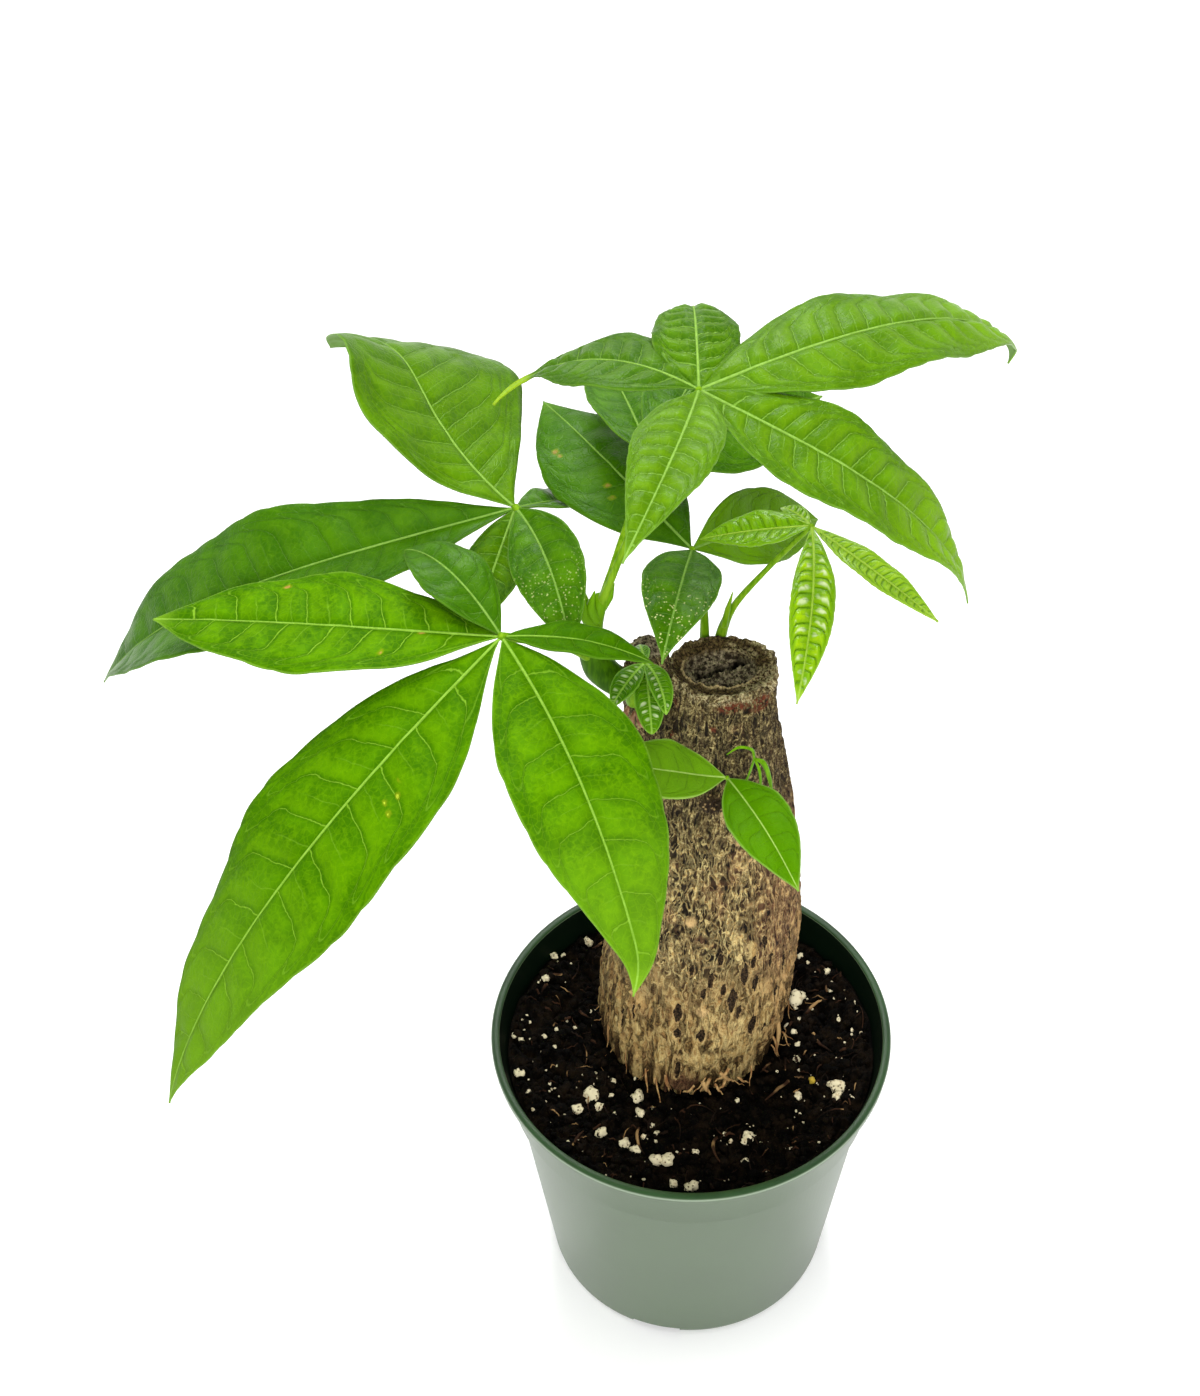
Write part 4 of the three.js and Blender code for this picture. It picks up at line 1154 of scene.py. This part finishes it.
def leafSkin(name, look):
    m = newMaterial(name, Roughness=look["rough"], Specular_IOR_Level=look["sheen"])
    along, across, s = readTag(m, "bladePlace")
    phase, spacing, seed = readTag(m, "bladeVein")
    tipward, fresh, specks = readTag(m, "bladeTone")
    showing, patchy, paleTip = readTag(m, "bladeLook")
    blot, glintShare, shade = readTag(m, "bladeBlots")
    yellowBlots, tailStart, _ = readTag(m, "bladeMarks")
    flatPlace = joinVector(m, along, across, times(m, seed, 40))
    edge, off = unsigned(m, s), unsigned(m, across)

    # distances to the veins, in mm
    half = sums(m, "DIVIDE", off, most(m, edge, 0.001))
    wobble = linear(m, cloud(m, flatPlace, 0.18, 3), 0.2, -0.1)
    beat = sums(m, "FRACT", plus(m, phase, wobble))
    toVein = minus(m, 0.5, unsigned(m, minus(m, beat, 0.5)))
    toVein = times(m, toVein, spacing)
    width = linear(m, edge, -0.45 * look["vein"], look["vein"])
    line = ramp(m, toVein, times(m, width, 0.3), width, 1, 0)
    line = times(m, line, ramp(m, edge, 0.76, 0.92, 1, 0))
    loopAt = linear(m, sums(m, "SINE", times(m, beat, math.pi)), 0.12, 0.76)
    toLoop = times(m, unsigned(m, minus(m, edge, loopAt)), half)
    loop = ramp(m, toLoop, times(m, width, 0.3), width, look["loops"], 0)
    between = times(m, unsigned(m, minus(m, beat, 0.5)), spacing)
    between = times(m, ramp(m, between, 0.08, 0.3, 0.35, 0), ramp(m, edge, 0.3, 0.6, 1, 0))
    veins = most(m, line, loop, between)
    midLine = ramp(m, off, 0.12, linear(m, tipward, -0.2, look["midWidth"]), 1, 0)
    net = ramp(m, cells(m, flatPlace, 0.55), 0.02, 0.12, 1, 0)
    near = least(m, toVein, times(m, off, 0.7), times(m, toLoop, 1.3))
    middle = ramp(m, near, 0.3, 4.2)  # 0 beside a vein, 1 in the middle between veins

    # ground, flecks and the bulges between veins: the flecks are partly the leaf's own mottling, partly
    # painted light shining through the blade; the light side of each bulge is painted light, and the glints
    # are painted highlights
    mottle = ramp(m, cloud(m, flatPlace, 0.1, 4, 0.5, 0.4), 0.34, 0.68)
    tone = blend(m, mottle, look["deep"], look["mid"])
    # flecks, brightest midway between veins: mottling and painted light through the blade
    fleck = ramp(m, cloud(m, flatPlace, 0.62, 4, 0.6, 0.3), 0.42, 0.66)
    fleck = times(m, fleck, middle, patchy, look["flecks"])
    tone = blend(m, fleck, tone, look["light"])
    # one side of each bulge between veins made lighter: painted light
    bulgeLight = times(m, ramp(m, beat, 0.35, 0.85), ramp(m, beat, 0.86, 0.98, 1, 0))
    bulgeLight = times(m, bulgeLight, showing, ramp(m, edge, 0.6, 0.9, 0.35, 0))
    tone = blend(m, bulgeLight, tone, look["light"])
    if look["glint"]:
        shifted = linear(m, cloud(m, flatPlace, 0.4, 2), 0.5, 0.13)
        aside = sums(m, "DIVIDE", minus(m, edge, shifted), 0.34)
        onward = sums(m, "DIVIDE", minus(m, beat, linear(m, edge, 0.3, 0.5)), 0.26)
        away = plus(m, times(m, aside, aside), times(m, onward, onward))
        patches = ramp(m, cloud(m, flatPlace, 0.26, 2), 0.45, 0.54)
        glint = times(m, ramp(m, away, 0.1, 1, look["glint"], 0), patches, glintShare)
        tone = blend(m, glint, tone, (244, 255, 206))

    # beside and on the veins, the tip and the rim; the darkening beside the veins and the midrib is painted
    # shade
    beside = times(m, ramp(m, near, 0.2, 1.7, 0.75, 0), linear(m, showing, 0.8, 0.2))
    tone = blend(m, beside, tone, look["deep"])
    tone = blend(m, times(m, net, look["net"]), tone, look["light"])
    fresh = linear(m, paleTip, ramp(m, tipward, 0.45, 0.9), fresh)
    tone = blend(m, fresh, tone, look["tip"])
    tip = times(m, ramp(m, tipward, 0.9, 1), 0.7)
    tone = blend(m, tip, tone, look["tip"])
    tone = blend(m, times(m, veins, showing), tone, look["veinTone"])
    tone = blend(m, midLine, tone, look["ribTone"])
    rim = times(m, ramp(m, minus(m, half, off), 0.1, 0.55, 1, 0), 0.6)
    tone = blend(m, rim, tone, look["rimTone"])

    # specks, blots, the drip tip and shade
    dots = ramp(m, cells(m, flatPlace, 1.1, "F1"), 0.2, 0.3, 1, 0)
    dots = times(m, dots, ramp(m, cloud(m, flatPlace, 0.7, 2), 0.42, 0.5), specks)
    dots = times(m, dots, ramp(m, tipward, 0.4, 0.7))
    tone = blend(m, dots, tone, (222, 228, 150))
    tone = blend(m, ramp(m, blot, 0.05, 0.3), tone, (128, 152, 16))
    inTail = ramp(m, minus(m, tipward, tailStart), -0.04, 0.03, 0, 0.9)
    tone = blend(m, inTail, tone, (186, 222, 40))
    blotTone = blend(m, yellowBlots, (182, 150, 72), (206, 226, 60))
    tone = blend(m, ramp(m, blot, 0.35, 0.5), tone, blotTone)
    tone = blend(m, shade, tone, look["deep"])
    wear(m, "Base Color", tone)
    fine = cloud(m, flatPlace, 1.6, 3, 0.6)
    height = linear(m, veins, look["veinDepth"], times(m, net, -0.05))
    height = linear(m, mottle, 0.1, height)
    relief(m, linear(m, fine, 0.07, height), 0.9)
    return m


lookDefaults = {
    "midWidth": 0.5, "veinDepth": -0.2,  # mm
    "veinShow": 0.8, "loops": 0.7, "net": 0.15, "flecks": 0.7, "glint": 0,  # how strongly each shows
    "rowsPerMm": 1.2, "across": 36,  # the blade's grid
}
leafLooks = {  # under: the two tones and the roughness of the underside
    "bright": {
        "deep": (60, 112, 0), "mid": (86, 143, 0), "light": (122, 178, 2), "veinTone": (142, 193, 50),
        "ribTone": (150, 198, 70), "rimTone": (136, 184, 60), "tip": (134, 182, 40),
        "under": ((126, 168, 60), (138, 178, 74), 0.6), "rough": 0.5, "sheen": 0.02, "quilt": 0.8,
        "rib": 0.34, "vein": 0.33, "flecks": 0.36, "loops": 0.4, "net": 0.18,
    },
    "sprout": {
        "deep": (84, 142, 0), "mid": (96, 154, 0), "light": (114, 170, 2), "veinTone": (140, 192, 40),
        "ribTone": (186, 222, 110), "rimTone": (186, 222, 110), "tip": (150, 196, 44),
        "under": ((126, 172, 60), (138, 182, 74), 0.6), "rough": 0.45, "sheen": 0.05, "quilt": 0.4,
        "rib": 0.12, "midWidth": 0.36, "vein": 0.26, "flecks": 0.25,
    },
    "mid": {
        "deep": (58, 104, 0), "mid": (86, 136, 0), "light": (124, 168, 8), "veinTone": (130, 178, 60),
        "ribTone": (150, 194, 84), "rimTone": (124, 170, 60), "tip": (134, 186, 10),
        "under": ((116, 156, 74), (126, 166, 84), 0.6), "rough": 0.38, "sheen": 0.12, "quilt": 1.05,
        "rib": 0.34, "vein": 0.34, "flecks": 0.2, "loops": 0.45,
    },
    "dark": {
        "deep": (54, 104, 0), "mid": (78, 132, 2), "light": (106, 158, 8), "veinTone": (112, 160, 54),
        "ribTone": (140, 184, 80), "rimTone": (112, 158, 50), "tip": (118, 170, 14),
        "under": ((96, 132, 66), (106, 142, 76), 0.6), "rough": 0.36, "sheen": 0.1, "quilt": 0.45,
        "rib": 0.3, "vein": 0.26, "flecks": 0.35, "veinShow": 0.5,
    },
    "bud": {
        "deep": (60, 116, 0), "mid": (104, 162, 0), "light": (150, 206, 20), "veinTone": (150, 200, 70),
        "ribTone": (160, 206, 80), "rimTone": (150, 200, 70), "tip": (130, 180, 30),
        "under": ((120, 170, 40), (130, 180, 56), 0.5), "rough": 0.3, "sheen": 0.14, "quilt": 0.7,
        "rib": 0.2, "vein": 0.18, "rowsPerMm": 3.6, "across": 26, "veinDepth": -0.3, "loops": 0,
        "net": 0.05, "flecks": 0.6, "glint": 0.95,
    },
    "young": {
        "deep": (118, 176, 0), "mid": (168, 220, 0), "light": (222, 250, 20), "veinTone": (104, 160, 4),
        "ribTone": (178, 216, 80), "rimTone": (170, 210, 70), "tip": (176, 214, 60),
        "under": ((140, 184, 60), (150, 190, 70), 0.5), "rough": 0.3, "sheen": 0.25, "quilt": 1.2,
        "rib": 0.4, "vein": 0.4, "rowsPerMm": 3.2, "across": 26, "veinDepth": -0.35, "loops": 0,
        "net": 0.05, "glint": 0.8,
    },
}


def dressLook(name, look):
    for key, value in lookDefaults.items():
        look.setdefault(key, value)
    look["skins"] = leafSkin(name + "Blade", look), plainSkin(name + "Underside", *look["under"])
    darker = tuple(c - 14 for c in look["ribTone"])
    look["ribSkin"] = plainSkin(name + "Rib", look["ribTone"], darker, 0.45)


for name, look in leafLooks.items():
    dressLook(name, look)
stalkSkin = plainSkin("greenStalk", (104, 156, 12), (140, 184, 34), 0.45)
scaleSkin = plainSkin("scaleSkin", (206, 160, 128), (140, 92, 70), 0.7)

bladeDefaults = {
    "roll": 0, "twist": 0, "curl": (0, 0), "curlFrom": 0.86, "cup": 0, "lean": 0,  # how it bends
    "widest": 0.5, "base": 1.15, "tip": 1.15, "tail": 0, "veins": 10, "quilt": 1,  # its outline and relief
    "patchy": 1, "paleTip": 0, "fresh": 0, "shade": 0, "specks": 0, "glint": 1, "blots": [], "yellowBlots": 0,
}


def blade(turn, rise, droop, swing, length, width, **more):  # degrees and mm, then what isn't as usual
    return {**bladeDefaults, "turn": turn, "rise": rise, "droop": droop, "swing": swing, "length": length,
            "width": width, **more}


leafPlan = {
    "topLeaf": {
        "node": "leaf_top", "slot": "leaf_mid", "look": "mid",
        "stalk": [(-25, 14, 257), (-22.6, 12.6, 266), (-17.6, 12.4, 283), (-9.4, 13.4, 308), (-1, 15, 329)],
        "radii": [2.1, 1.3, 1.05, 1, 1],
        "leaflets": [
            blade(147.7, 7.4, 67.2, 25.5, 59, 28.5, roll=9, twist=6, widest=0.47, veins=9, tail=0.19,
                  curl=(47, 64), curlFrom=0.7, shade=0.35),
            blade(93, 18, 85, 0, 51, 22, widest=0.38, base=0.95, tip=1.2, cup=-14, veins=10),
            blade(24, 9, 70, 28, 118, 30, roll=4, twist=3, cup=-6, widest=0.34, base=1.05, tip=1,
                  veins=14, fresh=0.15, paleTip=0.65, curl=(-50, -30), curlFrom=0.93),
            blade(-35, -2, 79, 49, 95, 27, roll=7, cup=4, widest=0.37, veins=13, paleTip=0.9, fresh=0.12),
            blade(-97, 16, 37, -17, 62, 21, cup=5, widest=0.39, tip=1.4, veins=10, fresh=0.2),
        ],
    },
    "leafBehindTop": {
        "node": "leaf_behind_top", "slot": "leaf_dark", "look": "dark",
        "stalk": [(-24.6, 15.5, 256), (-22, 22, 262), (-17, 33, 273), (-12, 42, 281)],
        "radii": [1.8, 1.4, 1.3, 1.2],
        "leaflets": [
            blade(43, -8, 10, 0, 61, 27, roll=26, cup=9, widest=0.42, veins=8),
            blade(108, 0, 27, -4, 56, 20, cup=8, veins=8),
            blade(75, 6, 34, 0, 52, 20, cup=8, veins=8),
        ],
    },
    "leafBackLeft": {
        "node": "leaf_back_left", "slot": "leaf_mid", "look": "mid",
        "stalk": [(-26.4, 14.5, 249), (-30, 20, 255), (-38, 31, 262), (-47.5, 40, 266)],
        "radii": [1.9, 1.5, 1.3, 1.3],
        "leaflets": [
            blade(145.5, 19.5, -25.1, -45, 76, 58, roll=6.8, twist=40, lean=-0.2, cup=1, widest=0.58,
                  base=1.15, tip=0.94, veins=9, curl=(-77.7, 62), curlFrom=0.5, quilt=0.6, veinShow=0.55,
                  patchy=0.5, fresh=0.1),
            blade(-158, -2, 60, -42, 138, 39, roll=-9, cup=12, widest=0.56, veins=12, look="dark",
                  shade=0.35),
            blade(-108, -22, 10, 0, 34, 15, roll=-3, cup=8, veins=6, quilt=0.4, veinShow=0.45),
            # this leaflet's specks are partly pale specks and partly painted reflection glints
            blade(-64, 14, 58, -11, 48, 19, roll=20, cup=10, veins=7, look="dark", specks=0.5),
            blade(48, -24, 22, 0, 40, 15, roll=-10, cup=7, veins=6, look="dark"),
        ],
    },
    "leafFrontLeft": {
        "node": "leaf_front_left", "slot": "leaf_bright", "look": "bright",
        "stalk": [(-27, 12, 240), (-31.4, 6.4, 249), (-38.6, -0.6, 258.6), (-48.5, -5, 265)],
        "radii": [2.1, 1.6, 1.4, 1.4],
        "leaflets": [
            blade(177, 0, 20, -16, 94, 34.5, cup=3, widest=0.48, tip=1.05, veins=8,
                  blots=[(0.63, -0.78, 1.3), (0.21, 0.06, 1.3), (0.3, 0.62, 0.9)]),
            blade(-128, -10, 65, -20, 154, 47, roll=4, twist=2, cup=-3, widest=0.39, base=1.35, tip=1.2,
                  veins=10, paleTip=0.55, shade=0.2,
                  blots=[(0.29, 0.36, 0.8), (0.31, 0.46, 0.9), (0.33, 0.4, 0.7), (0.34, 0.5, 0.9)],
                  yellowBlots=1),
            blade(-61, 0, 34, -12, 103, 36, roll=2, twist=-9, cup=4, widest=0.45, tip=1.2, veins=7,
                  veinShow=0.5, curl=(0, -34), paleTip=0.3),
            blade(-5, 11, 43, 0, 39, 14, roll=-12, cup=3, veins=5, shade=0.55, veinShow=0.4),
            blade(133, 37, 80, 0, 42, 17.5, cup=2, widest=0.47, veins=6, look="dark", shade=0.35),
        ],
    },
    "leafCentre": {
        "node": "leaf_centre", "slot": "leaf_dark", "look": "dark",
        "stalk": [(1.6, 26, 222), (1.6, 28.6, 232), (1, 29, 245), (-2, 30, 262)],
        "radii": [2, 1.6, 1.1, 1.05],
        "leaflets": [
            blade(131, 10, 24, -10, 70, 34, roll=2, cup=-10, veins=7, shade=0.4,
                  blots=[(0.42, 0.3, 1.2), (0.36, 0.42, 1), (0.69, 0.62, 1.3), (0.66, 0.57, 1)]),
            blade(42, -13, 19, 0, 48, 21.5, roll=34, cup=7, tip=1.05, veins=6, fresh=0.75),
            blade(-97, 24, 47, -4, 45, 20, roll=-4, cup=10, widest=0.43, tip=1.45, veins=6, specks=0.9),
        ],
    },
    "youngLeafRight": {
        "node": "leaf_young_right", "slot": "leaf_young", "look": "young",
        "stalk": [(5, 27, 224), (6.2, 28.6, 234), (9.2, 28.4, 243.6), (16.6, 28.8, 255.6), (28, 30, 271)],
        "radii": [2.2, 1.8, 1.15, 0.9, 0.85],
        "stipules": [[(6.6, 26.6, 238), (7.4, 26.8, 243.5), (8.6, 26.8, 250)]],
        "leaflets": [
            blade(177, -8, 13, 0, 29, 11.5, roll=-6, cup=6, widest=0.44, veins=8, quilt=0.45, glint=0.25,
                  shade=0.65),
            blade(-86, -2, 29, -17, 52, 11.5, roll=-7, cup=10, veins=12, quilt=0.8),
            blade(-45, 0, 19, 8, 42, 8.5, cup=7, veins=15, quilt=0.3, glint=0.15, fresh=0.25),
            blade(126, 0, 40, 0, 14, 5, cup=10, veins=6),
        ],
    },
    "youngLeafCluster": {
        "node": "leaf_young_cluster", "slot": "leaf_young", "look": "bud",
        "stalk": [(-15, 8, 228), (-16.4, 4.4, 232.5), (-16.4, 2.8, 238), (-14.8, 0.4, 247),
                  (-13.2, -0.6, 252)],
        "radii": [1.6, 2.4, 2.1, 1.1, 0.8],
        "scales": [[(-17.6, 4.6, 230), (-18.6, 3.4, 227.5), (-18.4, 3.4, 224)],
                   [(-16, 4, 228.6), (-16.8, 2.8, 226), (-15.4, 2.6, 223)],
                   [(-15.4, 3.8, 228), (-14.4, 2.6, 226), (-12.6, 2.4, 223.6)]],
        "leaflets": [
            blade(-126, 2, 41, 4, 15.5, 7, cup=8, base=1.1, tip=1.1, veins=7),
            blade(-83, -7, 36, 0, 19.5, 7.6, cup=6, base=0.9, tip=0.6, widest=0.55, veins=8),
            blade(-57, 12, 50, -26, 17, 6, cup=10, base=0.9, tip=0.8, veins=8),
            blade(101, 0, 35, 0, 9, 4, cup=10, base=1.1, tip=1.1, veins=5),
        ],
    },
    "frontSprout": {
        "node": "sprout_front", "slot": "leaf_bright", "look": "sprout",
        "stalk": [(9.6, 1, 203), (9.8, -4.6, 207), (9.2, -9.4, 215), (8, -12, 222)],
        "radii": [1.6, 1, 0.7, 0.7],
        "leaflets": [
            blade(-165, 22, 0, -8, 35, 16.5, roll=-17, cup=6, widest=0.47, veins=6, veinShow=0.12,
                  patchy=0.3, fresh=0.25),
            blade(-64, 14, 41, 3, 40, 16.5, roll=10, cup=10, widest=0.46, veins=6, veinShow=0.1,
                  patchy=0.3, shade=0.4),
        ],
    },
}


def makeLeaf(name, plan, number):
    hub = plan["stalk"][-1]
    parts = []
    for n, leaflet in enumerate(plan["leaflets"]):
        look = leafLooks[leaflet.get("look", plan["look"])]
        parts.append(makeBlade(hub, leaflet, look, 100 * number + n * 7 + 3))
        parts.append(makeRib(hub, leaflet, look))
    radii = np.interp(np.linspace(0, 1, 41), np.linspace(0, 1, len(plan["radii"])), plan["radii"])
    parts.append(tube("stalk", smoothPath(plan["stalk"], 40), radii * bladePlan["stalkSize"], stalkSkin, 4))
    for path in plan.get("stipules", []):
        parts.append(tube("stipule", smoothPath(path, 14), [0.9, 0.75, 0.15], stalkSkin, 3))
    for path in plan.get("scales", []):
        parts.append(tube("scale", smoothPath(path, 12), [0.5, 0.9, 0.2], scaleSkin, 3))
    leaf = fuse(name, parts)
    seat(leaf, plan["node"])
    print(name, "made:", len(leaf.data.polygons), "faces")


for number, (name, plan) in enumerate(leafPlan.items()):
    makeLeaf(name, plan, number)


# The thick green shoot with its stipules, and the tiny curled sprout

shootPlan = {
    "points": [(-14, 13, 229), (-20.5, 12, 231.5), (-25.4, 12, 237), (-27.4, 12.6, 245), (-26.6, 13.5, 252),
               (-25, 14, 259)],
    "radii": [3.6, 4, 4.2, 3.2, 2.5, 2.1],
    "stipules": [[(-26.6, 11.6, 252), (-28.8, 10.6, 257), (-28.6, 11, 262.5)],
                 [(-26.2, 12, 254), (-27.2, 11.4, 259), (-26.2, 12, 264)],
                 [(-24.4, 14, 257), (-22.8, 13.4, 261), (-21.4, 13, 266)]],
    "stipuleRadii": [1.5, 1.3, 0.25],
    "curl": [  # radii, then the path
        ([0.8, 0.36, 0.3, 0.34], [(11.4, 2, 206), (12.4, -5.4, 212), (13.6, -8.2, 219), (14.8, -9, 226)]),
        ([0.34, 0.44, 0.38, 0.15],
         [(14.8, -9, 226), (14, -10, 230.6), (10.8, -10.6, 232), (7.8, -10.4, 229)]),
        ([0.34, 0.72, 0.62, 0.15],
         [(14.8, -9, 226), (17, -10.2, 226), (18.8, -10.8, 220.6), (19.8, -11, 214)]),
        ([0.3, 0.42, 0.34, 0.12], [(14.8, -9, 226), (16, -11, 224.6), (16.6, -12, 220), (16.6, -12, 216)]),
    ],
}


def makeShoot():
    p = shootPlan
    # dark below and lighter from 238 mm up: painted shade and light
    shootSkin = plainSkin("shootSkin", (56, 98, 0), (78, 126, 0), 0.5, (238, 255), (112, 166, 12))
    radii = np.interp(np.linspace(0, 5, 51), range(6), p["radii"])
    main = tube("shoot", smoothPath(p["points"], 50), radii, shootSkin, 6)
    leaves = [tube("stipule", smoothPath(s, 14), p["stipuleRadii"], shootSkin, 3) for s in p["stipules"]]
    seat(fuse("greenShoot", [main, *leaves]), "shoot_left")
    curlSkin = plainSkin("curlSkin", (96, 152, 8), (126, 180, 26), 0.35)
    arms = [tube("arm", smoothPath(path, 18), radii, curlSkin, 3) for radii, path in p["curl"]]
    seat(fuse("curledTip", arms), "curled_sprout")


makeShoot()
print("shoots made")
